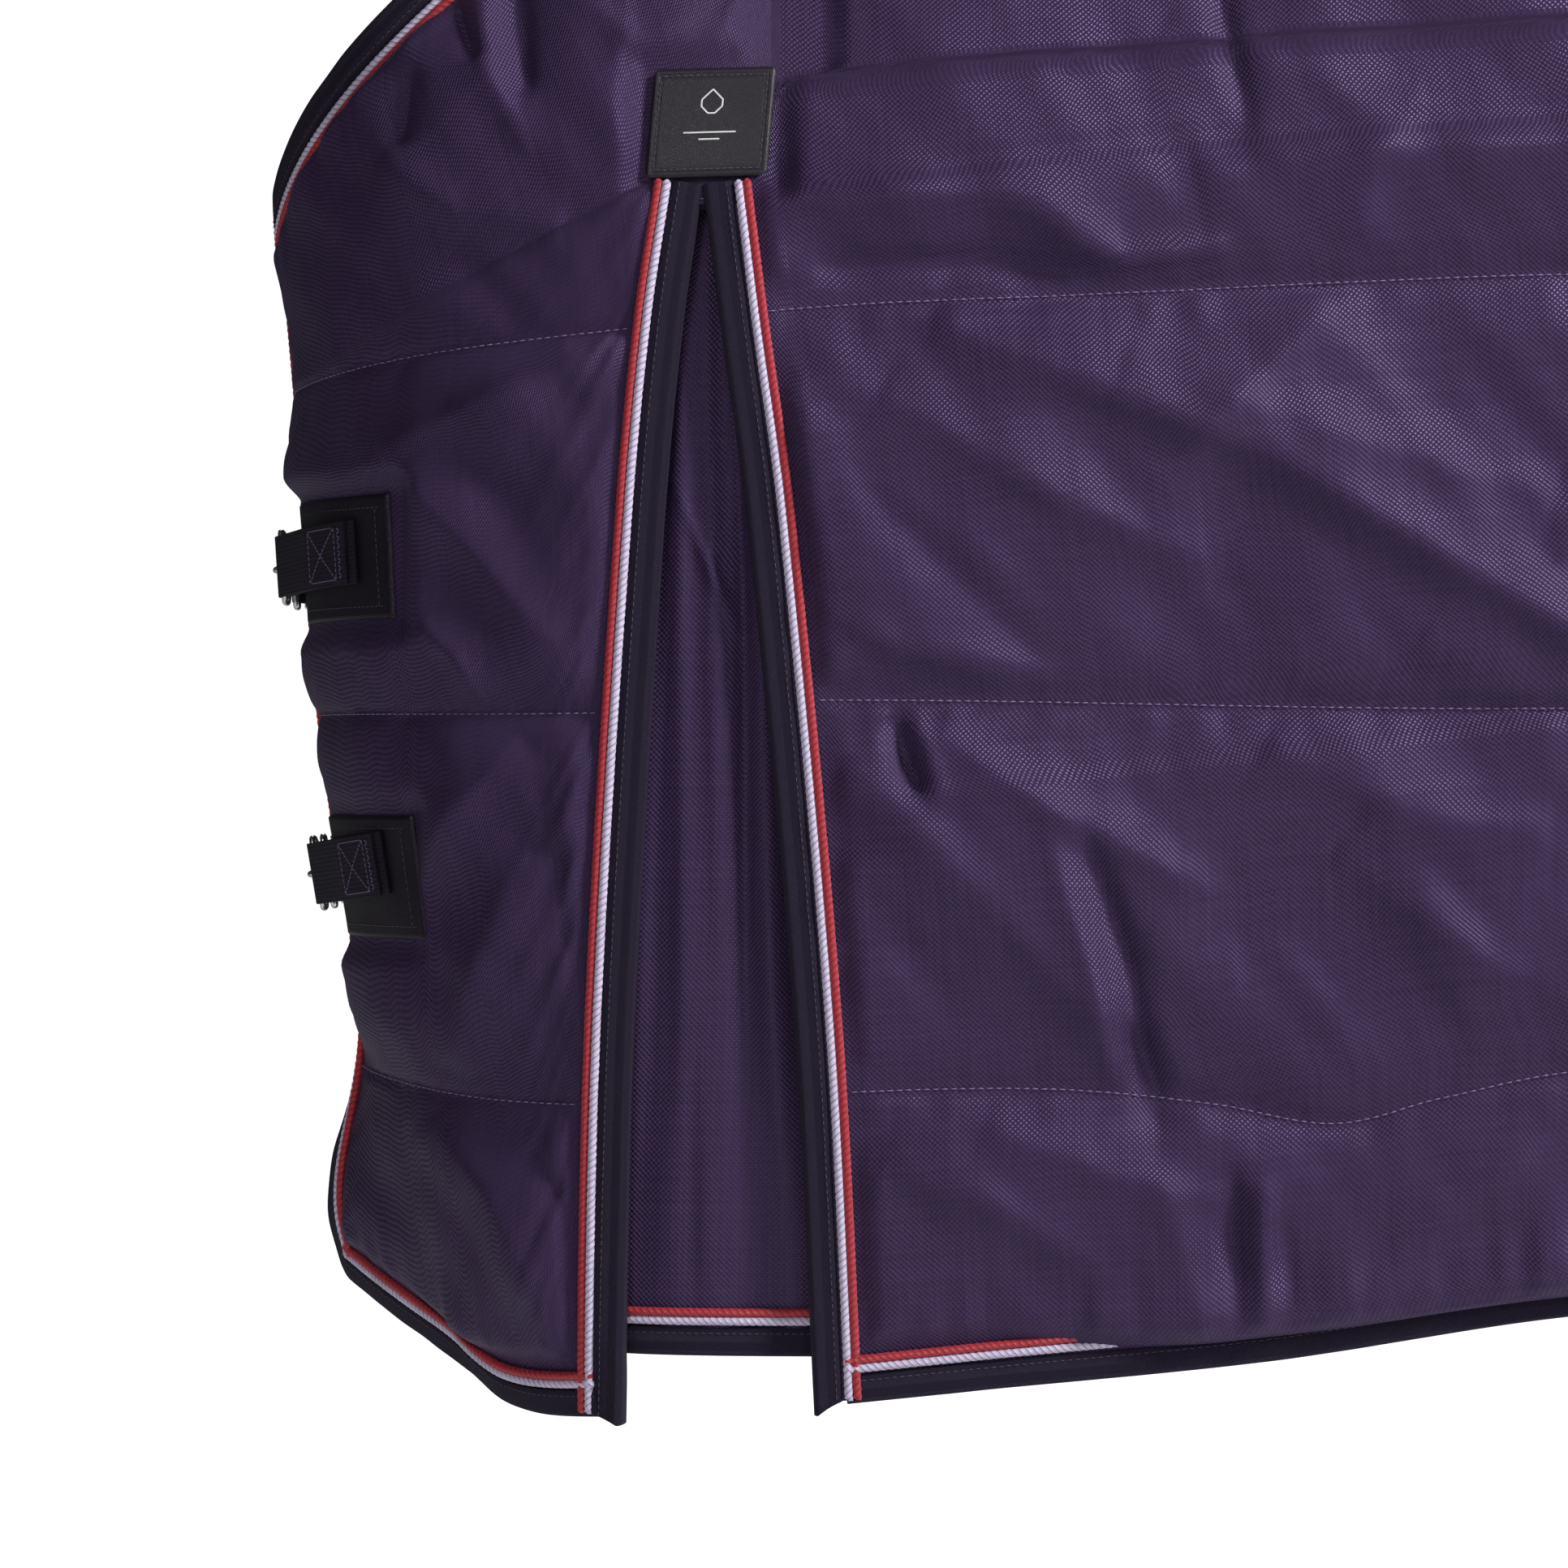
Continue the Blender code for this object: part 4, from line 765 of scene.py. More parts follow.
@dataclass(frozen=True)
class Finish:
    """A procedural finish: two colours mixed by an effect, with its bump and gloss."""

    name: str
    low: tuple[float, float, float]
    high: tuple[float, float, float]
    effect: Effect
    settings: dict = field(default_factory=dict)
    bump: float = 0.4
    depth: float = 0.0004
    rough: tuple[float, float] = (0.6, 0.8)
    metallic: float = 0.0
    sheen: float = 0.0
    sheen_tint: tuple[float, float, float] = (1.0, 1.0, 1.0)
    specular: float = 0.5
    tint: tuple[float, float, float] = (1.0, 1.0, 1.0)
    dust: float = 0.15
    dust_colour: tuple[float, float, float] = (0.4, 0.38, 0.42)
    by_uv: bool = True

    def build(self) -> bpy.types.Material:
        """Builds the material.

        Returns:
            The new material.
        """
        made = bpy.data.materials.new(self.name)
        made.use_nodes = True
        n = Nodes(made.node_tree)
        shader = made.node_tree.nodes["Principled BSDF"]
        coords = n.add("ShaderNodeTexCoord")
        place = coords.outputs["UV" if self.by_uv else "Object"]
        effect = n.add("ShaderNodeGroup", node_tree=EFFECTS.get(self.effect))
        dust = n.add("ShaderNodeGroup", node_tree=EFFECTS.get(Effect.DUST))
        n.link(place, effect.inputs["Place"])
        n.link(coords.outputs["Object"], dust.inputs["Place"])
        dust.inputs["Amount"].default_value = self.dust
        for label, value in self.settings.items():
            effect.inputs[label].default_value = value
        # The effect's tone mixes low and high; outside the dust effect it follows the relief, so the low colour is
        # painted shade in the hollows and the high colour a painted highlight on the crowns.
        cloth = n.blend(effect.outputs["Tone"], (*self.low, 1), (*self.high, 1))
        n.link(n.blend(dust.outputs["Tone"], cloth, (*self.dust_colour, 1)),
               shader.inputs["Base Color"])
        n.link(n.span(effect.outputs["Tone"], 0, 1, self.rough[1], self.rough[0]),
               shader.inputs["Roughness"])
        shader.inputs["Metallic"].default_value = self.metallic
        shader.inputs["Sheen Weight"].default_value = self.sheen
        shader.inputs["Sheen Tint"].default_value = (*self.sheen_tint, 1)
        shader.inputs["Specular IOR Level"].default_value = self.specular
        shader.inputs["Specular Tint"].default_value = (*self.tint, 1)
        bump = n.add("ShaderNodeBump")
        bump.inputs["Strength"].default_value = self.bump
        bump.inputs["Distance"].default_value = self.depth
        n.link(effect.outputs["Height"], bump.inputs["Height"])
        n.link(bump.outputs[0], shader.inputs["Normal"])
        return made


class Finishes:
    """The rug's finishes."""

    def __init__(self) -> None:
        """Builds every material."""
        weave = {"Pitch": 0.0016, "Slub": 0.55}
        self.shell = Finish(
            "purple_shell", low=(0.008, 0.0042, 0.015), high=(0.047, 0.026, 0.078),
            effect=Effect.WEAVE, settings=weave, bump=0.75, depth=0.0006, rough=(0.33, 0.54),
            specular=0.42, sheen=0.03, sheen_tint=(0.62, 0.5, 0.85), tint=(0.70, 0.52, 1.0),
            dust=0.015,
        ).build()
        self.lining = Finish(
            "dark_lining", low=(0.010, 0.008, 0.016), high=(0.026, 0.020, 0.040),
            effect=Effect.WEAVE, settings={"Pitch": 0.0009, "Slub": 0.3}, bump=0.15, depth=0.0002,
            rough=(0.35, 0.5), dust=0.08,
        ).build()
        self.wadding = Finish(
            "wadding_felt", low=(0.50, 0.49, 0.46), high=(0.66, 0.65, 0.62), effect=Effect.DUST,
            bump=0.6, depth=0.0010, rough=(0.9, 1.0), by_uv=False,
        ).build()
        self.tape = Finish(
            "herringbone_tape", low=(0.0025, 0.0018, 0.005), high=(0.026, 0.018, 0.042),
            effect=Effect.TWILL, bump=0.9, depth=0.0006, rough=(0.6, 0.85), sheen=0.02,
            specular=0.22, tint=(0.8, 0.7, 1.0), dust=0.0,
        ).build()
        self.white = Finish(
            "white_cord", low=(0.17, 0.145, 0.24), high=(0.60, 0.53, 0.71), effect=Effect.STRAND,
            bump=0.7, depth=0.0006, rough=(0.5, 0.7), sheen=0.3, dust=0.08,
        ).build()
        self.red = Finish(
            "red_cord", low=(0.10, 0.004, 0.010), high=(0.42, 0.012, 0.028), effect=Effect.STRAND,
            bump=0.7, depth=0.0006, rough=(0.5, 0.7), sheen=0.2, sheen_tint=(1, 0.5, 0.5),
            dust=0.03,
        ).build()
        self.leather = Finish(
            "black_leatherette", low=(0.004, 0.003, 0.006), high=(0.012, 0.009, 0.015),
            effect=Effect.GRAIN, bump=0.3, depth=0.0003, rough=(0.36, 0.48), specular=0.3,
            tint=(0.9, 0.8, 1.0), dust=0.01,
        ).build()
        self.badge = Finish(
            "badge_leatherette", low=(0.010, 0.008, 0.012), high=(0.020, 0.017, 0.024),
            effect=Effect.GRAIN, bump=0.25, depth=0.0003, rough=(0.34, 0.46), specular=0.28,
            dust=0.01,
        ).build()
        self.webbing = Finish(
            "black_webbing", low=(0.0015, 0.001, 0.003), high=(0.014, 0.010, 0.020),
            effect=Effect.WEBBING, bump=0.9, depth=0.0006, rough=(0.55, 0.8), sheen=0.02,
            specular=0.22, tint=(0.8, 0.7, 1.0), dust=0.0,
        ).build()
        self.steel = Finish(
            "nickel_plate", low=(0.58, 0.57, 0.57), high=(0.72, 0.71, 0.71), effect=Effect.DUST,
            settings={"Amount": 1.0}, bump=0.25, depth=0.0002, rough=(0.14, 0.26), metallic=1.0,
            dust=0.06, dust_colour=(0.3, 0.29, 0.3), by_uv=False,
        ).build()
        self.thread = Finish(
            "purple_thread", low=(0.075, 0.05, 0.12), high=(0.20, 0.14, 0.30),
            effect=Effect.STRAND, settings={"Pitch": 0.002}, bump=0.5, depth=0.0002,
            rough=(0.45, 0.6), dust=0.0,
        ).build()
        self.dark_thread = Finish(
            "dark_thread", low=(0.020, 0.015, 0.030), high=(0.065, 0.05, 0.085),
            effect=Effect.STRAND, settings={"Pitch": 0.002}, bump=0.5, depth=0.0002,
            rough=(0.45, 0.6), dust=0.0,
        ).build()
        self.print_white = Finish(
            "raised_print", low=(0.55, 0.54, 0.56), high=(0.72, 0.71, 0.73), effect=Effect.GRAIN,
            bump=0.1, depth=0.0001, rough=(0.4, 0.5), dust=0.05,
        ).build()


# ---- quilting, folds and puckers -----------------------------------------------------------------
@dataclass(frozen=True)
class Fold:
    """A ridge or crease along a polyline of (X, height), as it lies on the left side."""

    points: Line
    lift: float
    wide: float = 0.016
    other: float = 0.016

    def height(self, x: Array, z: Array) -> Array:
        """Its height over the cloth, with softened ends.

        Args:
            x: X of each point.
            z: Height of each point.

        Returns:
            The fold's height, in metres.
        """
        best, value = np.full(x.shape, 1e9), np.zeros(x.shape)
        line = np.array(self.points, float)
        lengths = np.linalg.norm(np.diff(line, axis=0), axis=1)
        total, run = lengths.sum(), 0.0
        for k, length in enumerate(lengths):
            ahead = (line[k + 1] - line[k]) / length
            rx, rz = x - line[k, 0], z - line[k, 1]
            along = np.clip(rx * ahead[0] + rz * ahead[1], 0, length)
            off_x, off_z = rx - ahead[0] * along, rz - ahead[1] * along
            far = np.hypot(off_x, off_z)
            above = ahead[0] * off_z - ahead[1] * off_x > 0
            across = far / np.where(above, self.wide, self.other)
            share = (run + along) / total
            taper = np.sqrt(np.clip(4 * share * (1 - share), 0, 1)) * 0.85 + 0.15
            here = 1.5 * self.lift * taper * np.exp(-(across**1.4))
            value = np.where(far < best, here, value)
            best = np.minimum(best, far)
            run += length
        return value


@dataclass(frozen=True)
class Quilting:
    """The quilted cloth's height over the plain form."""

    seams: tuple[Line, ...] = (
        ((-1.08, -0.160), (0.95, -0.155)),
        ((-1.06, -0.425), (-0.97, -0.413), (-0.84, -0.401), (-0.74, -0.390), (-0.60, -0.384), (-0.30, -0.374), (0.95, -0.372)),
        ((-1.06, -0.621), (-0.86, -0.622), (-0.74, -0.615), (-0.30, -0.620), (0.3, -0.604), (0.95, -0.612)),
        ((-1.04, -0.833), (-0.94, -0.846), (-0.86, -0.848), (-0.72, -0.840), (-0.60, -0.838), (-0.51, -0.846),
         (-0.44, -0.857), (-0.38, -0.842), (-0.30, -0.826), (0.2, -0.805), (0.95, -0.815)),
    )
    flat_places: tuple[tuple[float, float, float, float], ...] = (
        (-0.836, -0.758, -0.317, -0.249),
        (-1.100, -0.978, -0.567, -0.491),
        (-1.100, -0.972, -0.756, -0.680),
        (-0.130, -0.070, -0.840, -0.700),
        (0.170, 0.230, -0.840, -0.700),
    )
    puff: float = 0.0085
    folds: tuple[Fold, ...] = ()
    random_folds: int = 0
    seed: int = 1

    def lanes(self, x: Array, z: Array) -> tuple[Array, Array]:
        """The distance to the nearest seam, and the share of the way down each lane.

        Args:
            x: X of each point.
            z: Height of each point.

        Returns:
            The distances and the shares.
        """
        levels = np.stack([read_line(s, x) for s in self.seams] + [read_line(FORM.hem, x)], 0)
        levels = np.concatenate([np.full((1, *x.shape), 0.10), levels])
        nearest = np.abs(z[None] - levels[1:-1]).min(0)
        lane = np.clip((z[None] < levels).sum(0), 1, len(levels) - 1)
        high = np.take_along_axis(levels, lane[None] - 1, 0)[0]
        low = np.take_along_axis(levels, lane[None], 0)[0]
        return nearest, np.clip((high - z) / (high - low), 0, 1)

    def height(self, x: Array, z: Array, edge: Array, along_edge: Array) -> Array:
        """The cloth's height over the form.

        Args:
            x: X of each point.
            z: Height of each point.
            edge: Distance in from the nearest trimmed edge.
            along_edge: Place along that edge.

        Returns:
            The height, in metres.
        """
        near, share = self.lanes(x, z)
        open_cloth = 1 - np.exp(-((near / 0.020) ** 1.3))
        value = self.puff * open_cloth * (0.55 + 0.45 * np.sin(np.pi * share**1.35))
        value -= 0.0016 * np.exp(-((near / 0.0022) ** 2))
        lean, rise = x * 0.80 + z * 0.60, z * 0.80 - x * 0.60
        soft = noise(x / 0.11, z / 0.08, self.seed) * 0.0035 + noise(x / 0.045 + 7, z / 0.06, self.seed + 1) * 0.0013
        soft += noise(lean / 0.040, rise / 0.13,
                      self.seed + 5) * 0.0030 + noise(lean / 0.017, rise / 0.07, self.seed + 6) * 0.0010
        value += soft * open_cloth
        gathers = noise(x / 0.014, np.floor(share + 0.5) * 3.3, self.seed + 2)
        value += 0.0017 * gathers * np.exp(-near / 0.013) * smooth(near, 0.001, 0.006)
        long_gathers = noise(x / 0.032 + z / 0.05, z / 0.09, self.seed + 3)
        value += 0.0022 * np.maximum(long_gathers, -0.2) * np.exp(-near / 0.035) * open_cloth
        pucker = noise(along_edge / 0.011, edge / 0.05, self.seed + 4)
        value += 0.0034 * pucker * np.exp(-np.maximum(edge - 0.030, 0) / 0.020)
        for fold in (*self.folds, *self.scattered()):
            value += fold.height(x, z) * (0.35 + 0.65 * smooth(near, 0.0, 0.010))
        chest = 1 - smooth(x, -0.875, -0.845)
        value += chest * open_cloth * (noise(x / 0.035, z / 0.045, self.seed + 8) * 0.0032
                                       + noise(lean / 0.022, rise / 0.06, self.seed + 9) * 0.0018)
        value = np.where(value < -0.001, -0.001 - 0.0022 * (1 - np.exp(np.minimum(value + 0.001, 0) / 0.0022)), value)
        for x0, x1, z0, z1 in self.flat_places:
            out = np.hypot(np.maximum(np.maximum(x0 - x, x - x1), 0),
                           np.maximum(np.maximum(z0 - z, z - z1), 0))
            value = value * smooth(out, -0.002, 0.017)
        return value * smooth(edge, 0.0250, 0.042)

    def scattered(self) -> list[Fold]:
        """Soft slanting folds scattered over the lanes, the same each time.

        Returns:
            The folds.
        """
        rng = np.random.default_rng(self.seed)
        made = []
        for _ in range(self.random_folds):
            x, z = rng.uniform(-0.95, 0.82), rng.uniform(-0.92, -0.05)
            run, fall = rng.uniform(0.03, 0.14) * rng.choice([-1, 1]), rng.uniform(0.05, 0.14)
            bend = rng.uniform(-0.02, 0.02)
            points = ((x, z), (x + run / 2 + bend, z - fall / 2), (x + run, z - fall))
            made.append(Fold(points, rng.uniform(0.0012, 0.0042), rng.uniform(0.008, 0.02), rng.uniform(0.01, 0.03)))
        return made


@dataclass
class Panel:
    """A panel as a grid of points and normals, with its distances to the trimmed edges."""

    points: Array
    normals: Array
    edge: Array
    along: Array
    side: Array

    def lifted(self, quilting: dict[int, Quilting], share: float = 1.0) -> Array:
        """The height of the quilted cloth over each point.

        Args:
            quilting: The quilting of each side, by its sign.
            share: How much of the height is kept.

        Returns:
            The height, in metres.
        """
        x, z = self.points[..., 0], self.points[..., 2]
        value = np.zeros(x.shape)
        for sign, cloth in quilting.items():
            mine = self.side == sign
            steep = np.maximum(np.sqrt(1 - self.normals[..., 2] ** 2), 0.35)
            level = np.where(z > -0.2, -0.2 + (z + 0.2) / steep, z)
            value = np.where(mine, cloth.height(x, level, self.edge, self.along), value)
        return value * share

    def at(self, height: Array | float) -> Array:
        """The points moved out along their normals."""
        return self.points + self.normals * (np.asarray(height)[..., None] if np.ndim(height) else height)


def panel_of(points: Array, middle: Array, side: Array, edges: str) -> Panel:
    """Measures a grid of points.

    Args:
        points: Points by row and column.
        middle: A point, or one for each grid point, inside the rug.
        side: The sign of Y of each point.
        edges: The trimmed borders, from "fblr": first and last row, first and last column.

    Returns:
        The panel.
    """
    coords = arc_coords(points)
    u, v = coords[..., 0], coords[..., 1]
    far_u, far_v = u[:, -1:] - u, v[-1:, :] - v
    choices = {"f": (v, u), "b": (far_v, u), "l": (u, v), "r": (far_u, v)}
    distances = np.stack([choices[k][0] for k in edges])
    alongs = np.stack([choices[k][1] for k in edges])
    nearest = distances.argmin(0)[None]
    edge = np.take_along_axis(distances, nearest, 0)[0]
    along = np.take_along_axis(alongs, nearest, 0)[0]
    return Panel(points, grid_normals(points, middle), edge, along, side)


# ---- the cloth body ------------------------------------------------------------------------------
LEFT_FOLDS: tuple[Fold, ...] = (
    Fold(((-0.520, -0.318), (-0.443, -0.304), (-0.308, -0.300), (-0.150, -0.306)), 0.0060, 0.014, 0.030),
    Fold(((-0.758, -0.327), (-0.633, -0.327), (-0.563, -0.355)), 0.0055, 0.016, 0.014),
    Fold(((-0.739, -0.366), (-0.640, -0.364), (-0.577, -0.372)), -0.0050, 0.007, 0.010),
    Fold(((-0.600, -0.352), (-0.560, -0.364), (-0.500, -0.357)), 0.0042, 0.007, 0.006),
    Fold(((-0.670, -0.401), (-0.480, -0.475), (-0.308, -0.577), (-0.170, -0.640)), 0.0075, 0.030, 0.012),
    Fold(((-0.700, -0.440), (-0.600, -0.500), (-0.508, -0.540)), 0.0050, 0.022, 0.014),
    Fold(((-0.560, -0.420), (-0.420, -0.470), (-0.320, -0.500)), 0.0045, 0.018, 0.026),
    Fold(((-0.735, -0.560), (-0.690, -0.585), (-0.600, -0.600)), 0.0040, 0.012, 0.010),
    Fold(((-0.720, -0.480), (-0.640, -0.560), (-0.600, -0.600)), -0.0035, 0.014, 0.018),
    Fold(((-0.670, -0.632), (-0.600, -0.680), (-0.508, -0.725)), 0.0050, 0.016, 0.012),
    Fold(((-0.720, -0.650), (-0.640, -0.730), (-0.570, -0.800)), 0.0045, 0.022, 0.018),
    Fold(((-0.586, -0.683), (-0.560, -0.760), (-0.540, -0.864)), -0.0060, 0.009, 0.014),
    Fold(((-0.605, -0.690), (-0.580, -0.770), (-0.560, -0.850)), 0.0040, 0.014, 0.010),
    Fold(((-0.693, -0.624), (-0.686, -0.645), (-0.677, -0.669)), -0.0060, 0.006, 0.007),
    Fold(((-0.681, -0.624), (-0.672, -0.648), (-0.664, -0.672)), 0.0035, 0.007, 0.008),
    Fold(((-0.500, -0.880), (-0.498, -0.925), (-0.494, -0.975)), -0.0048, 0.007, 0.010),
    Fold(((-0.482, -0.890), (-0.480, -0.930), (-0.478, -0.970)), 0.0042, 0.009, 0.008),
    Fold(((-0.470, -0.910), (-0.466, -0.940), (-0.461, -0.975)), -0.0030, 0.006, 0.008),
    Fold(((-0.556, -0.800), (-0.550, -0.822), (-0.545, -0.842)), -0.0050, 0.006, 0.008),
    Fold(((-0.506, -0.200), (-0.500, -0.240), (-0.489, -0.290)), -0.0045, 0.007, 0.010),
    Fold(((-0.460, -0.190), (-0.380, -0.215), (-0.300, -0.222)), 0.0040, 0.016, 0.022),
    Fold(((-0.700, -0.880), (-0.640, -0.900), (-0.560, -0.950)), 0.0045, 0.018, 0.014),
    Fold(((-0.640, -0.860), (-0.560, -0.890), (-0.500, -0.900)), 0.0030, 0.012, 0.016),
    Fold(((-0.440, -0.700), (-0.360, -0.760), (-0.300, -0.790)), 0.0050, 0.026, 0.020),
    Fold(((-0.480, -0.640), (-0.400, -0.680), (-0.320, -0.690)), 0.0045, 0.018, 0.024),
    Fold(((-0.988, -0.468), (-0.920, -0.438), (-0.844, -0.410)), 0.0060, 0.012, 0.024),
    Fold(((-0.950, -0.195), (-0.942, -0.220), (-0.931, -0.245)), -0.0055, 0.006, 0.008),
    Fold(((-0.911, -0.195), (-0.908, -0.230), (-0.903, -0.265)), -0.0050, 0.006, 0.009),
    Fold(((-0.969, -0.245), (-0.972, -0.268), (-0.975, -0.292)), -0.0048, 0.006, 0.008),
    Fold(((-0.930, -0.200), (-0.924, -0.250), (-0.900, -0.300)), 0.0045, 0.010, 0.012),
    Fold(((-0.985, -0.300), (-0.940, -0.330), (-0.880, -0.340)), 0.0045, 0.014, 0.016),
    Fold(((-0.975, -0.480), (-0.930, -0.530), (-0.880, -0.590)), 0.0050, 0.016, 0.020),
    Fold(((-0.960, -0.570), (-0.940, -0.590), (-0.930, -0.612)), 0.0050, 0.010, 0.010),
    Fold(((-0.905, -0.640), (-0.945, -0.680), (-0.975, -0.735)), 0.0060, 0.016, 0.020),
    Fold(((-0.900, -0.700), (-0.930, -0.770), (-0.945, -0.830)), 0.0045, 0.020, 0.014),
    Fold(((-0.895, -0.660), (-0.885, -0.700), (-0.880, -0.760)), -0.0040, 0.008, 0.012),
    Fold(((-0.960, -0.860), (-0.920, -0.900), (-0.890, -0.960)), 0.0045, 0.014, 0.018),
    Fold(((-0.900, -0.870), (-0.880, -0.910), (-0.870, -0.960)), -0.0040, 0.007, 0.010),
)
RIGHT_FOLDS: tuple[Fold, ...] = ()


@dataclass
class ClothBody:
    """Shell, wadding and lining: the body over both sides and a chest panel on each side."""

    fine_step: float = 0.0034
    row_step: float = 0.0048
    coarse_step: float = 0.0090
    fine_to_x: float = -0.26
    quilting: dict[int, Quilting] = field(
        default_factory=lambda: {
            -1: Quilting(folds=LEFT_FOLDS, random_folds=34, seed=11),
            1: Quilting(folds=RIGHT_FOLDS, random_folds=90, seed=29),
        }
    )
    panels: dict[str, Panel] = field(default_factory=dict)

    def chest_grid(self, side: Side, step: float) -> Array:
        """Points of a chest panel: rows from the neckline down, columns from the front back."""
        share = np.linspace(0, 1, int(0.48 / step) + 1)[None]
        rear, t = FORM.edge_places(FORM.slit_front, int(0.90 / step))
        front = -FORM.front_angle()
        return FORM.surface(front + (rear - front) * share, t, side)

    def body_grid(self, side: Side, rows: int, xs: Array) -> Array:
        """Points of one side of the body: rows from the spine down, columns from the front back.

        Args:
            side: The side of the horse.
            rows: How many rows.
            xs: Shares of the way back at which the columns stand.

        Returns:
            The grid of points.
        """
        front, t = FORM.edge_places(FORM.slit_rear, rows)
        z = FORM.surface(front, t, side)[..., 2]
        front_x = FORM.edge_x(FORM.slit_rear, z)
        rear_x = FORM.rear_top_x + (FORM.rear_x - FORM.rear_top_x) * t
        x = front_x + (rear_x - front_x) * xs[None]
        c = np.broadcast_to(x - FORM.seam_x, x.shape).copy()
        ahead = c < 0
        for _ in range(10):
            level = FORM.surface(c, np.broadcast_to(t, c.shape), side)[..., 2]
            c = np.where(ahead, FORM.c_of_x(x, level), c)
        return FORM.surface(c, np.broadcast_to(t, c.shape), side)

    def measure(self, coarse: float = 1.0) -> dict[str, Panel]:
        """Lays out the three panels.

        Args:
            coarse: How many times coarser than the finest grid.

        Returns:
            The panels by name.
        """
        made = {}
        for side in Side:
            points = self.chest_grid(side, self.fine_step * coarse)
            middle = np.array([-0.80, 0.0, 0.0]) * np.ones_like(points)
            middle[..., 2] = points[..., 2]
            made[f"{side.label}_chest"] = panel_of(points, middle, np.full(points.shape[:2], side.value), "fblr")
        fine = np.linspace(0, 0.30, int(0.50 / self.fine_step / coarse))
        rest = np.linspace(0.30, 1, int(1.16 / self.coarse_step / coarse) + 1)[1:]
        xs = np.concatenate([fine, rest])
        rows = int(1.20 / self.row_step / coarse)
        halves = {side: self.body_grid(side, rows, xs) for side in Side}
        points = np.concatenate([halves[Side.LEFT][::-1], halves[Side.RIGHT][1:]])
        middle = np.stack([np.clip(points[..., 0], -0.757, 0.6), points[..., 1] * 0, points[..., 2] * 0 - 0.5], -1)
        side = np.where(np.arange(len(points)) < rows, -1, 1)[:, None] * np.ones(points.shape[1])
        made["body"] = panel_of(points, middle, side, "fblr")
        return made

    def shell(self, finishes: Finishes) -> list[bpy.types.Object]:
        """Builds the outer shell, the wadding and the lining.

        Args:
            finishes: The rug's finishes.

        Returns:
            The new pieces.
        """
        self.panels = self.measure()
        pieces = []
        for name, panel in self.panels.items():
            height = panel.lifted(self.quilting)
            quilt = Patchwork()
            quilt.add(self.droop(panel, height) if name == "body" else panel.at(height),
                      flip=name == "right_chest")
            made = quilt.build(f"{name}_shell", finishes.shell)
            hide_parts(f"{name}_outer")
            pieces.append(made)
        pieces += self.inner(finishes)
        return pieces

    def droop(self, panel: Panel, height: Array) -> Array:
        """The body's points, with the cloth above the hem hanging over the cords.

        Args:
            panel: The body panel.
            height: The quilted cloth's height.

        Returns:
            The grid of points.
        """
        points = panel.at(height)
        x = points[..., 0]
        rows = arc_coords(panel.points)[..., 1]
        above = np.minimum(rows, rows[-1:] - rows)
        lip = np.exp(-((np.abs(above - 0.032) / 0.013) ** 2.4)) * smooth(x, -0.66, -0.50)
        lip *= 0.90 + 0.10 * noise(x / 0.10, 0.0, 5)
        points[..., 2] -= 0.0185 * lip
        return points + panel.normals * (lip * 0.0088)[..., None]

    def inner(self, finishes: Finishes) -> list[bpy.types.Object]:
        """The wadding and the lining, which follow the shell's quilting.

        Args:
            finishes: The rug's finishes.

        Returns:
            The wadding and the lining.
        """
        coarse = self.measure(3.0)
        filling, cloth = Patchwork(), Patchwork()
        for name, panel in coarse.items():
            flip = name == "right_chest"
            height = panel.lifted(self.quilting, 0.72)
            seam, _ = self.quilting[-1].lanes(panel.points[..., 0], panel.points[..., 2])
            sunk = 0.0042 + 0.0026 * np.exp(-((seam / 0.018) ** 2))
            outer, inner = panel.at(height - sunk), panel.at(height * 0.1 - 0.0072)
            border = np.stack([outer, inner])
            filling.add(outer, flip=flip)
            filling.add(inner, flip=not flip)
            for rim in (border[:, 0], border[:, -1], border[:, :, 0], border[:, :, -1]):
                filling.add(rim)
            inside = 0.0025 * np.exp(-((seam / 0.006) ** 2)) - 0.0020 * (1 - np.exp(-seam / 0.03))
            cloth.add(panel.at(inside * smooth(panel.edge, 0.01, 0.03) - FORM.stack), flip=not flip)
        wadding = filling.build("quilt_wadding", finishes.wadding)
        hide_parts("wadding")
        lining = cloth.build("smooth_lining", finishes.lining)
        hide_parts("lining")
        return [wadding, lining]

    def tree(self) -> BVHTree:
        """A search tree over the plain form, for laying trims on it.

        Returns:
            The search tree.
        """
        points, faces, count = [], [], 0
        for panel in self.measure(1.6).values():
            rows, columns = panel.points.shape[:2]
            index = np.arange(rows * columns).reshape(rows, columns) + count
            quads = np.stack([index[:-1, :-1], index[1:, :-1], index[1:, 1:], index[:-1, 1:]], -1)
            points.append(panel.points.reshape(-1, 3))
            faces.append(quads.reshape(-1, 4))
            count += rows * columns
        return BVHTree.FromPolygons(np.concatenate(points).tolist(), np.concatenate(faces).tolist())


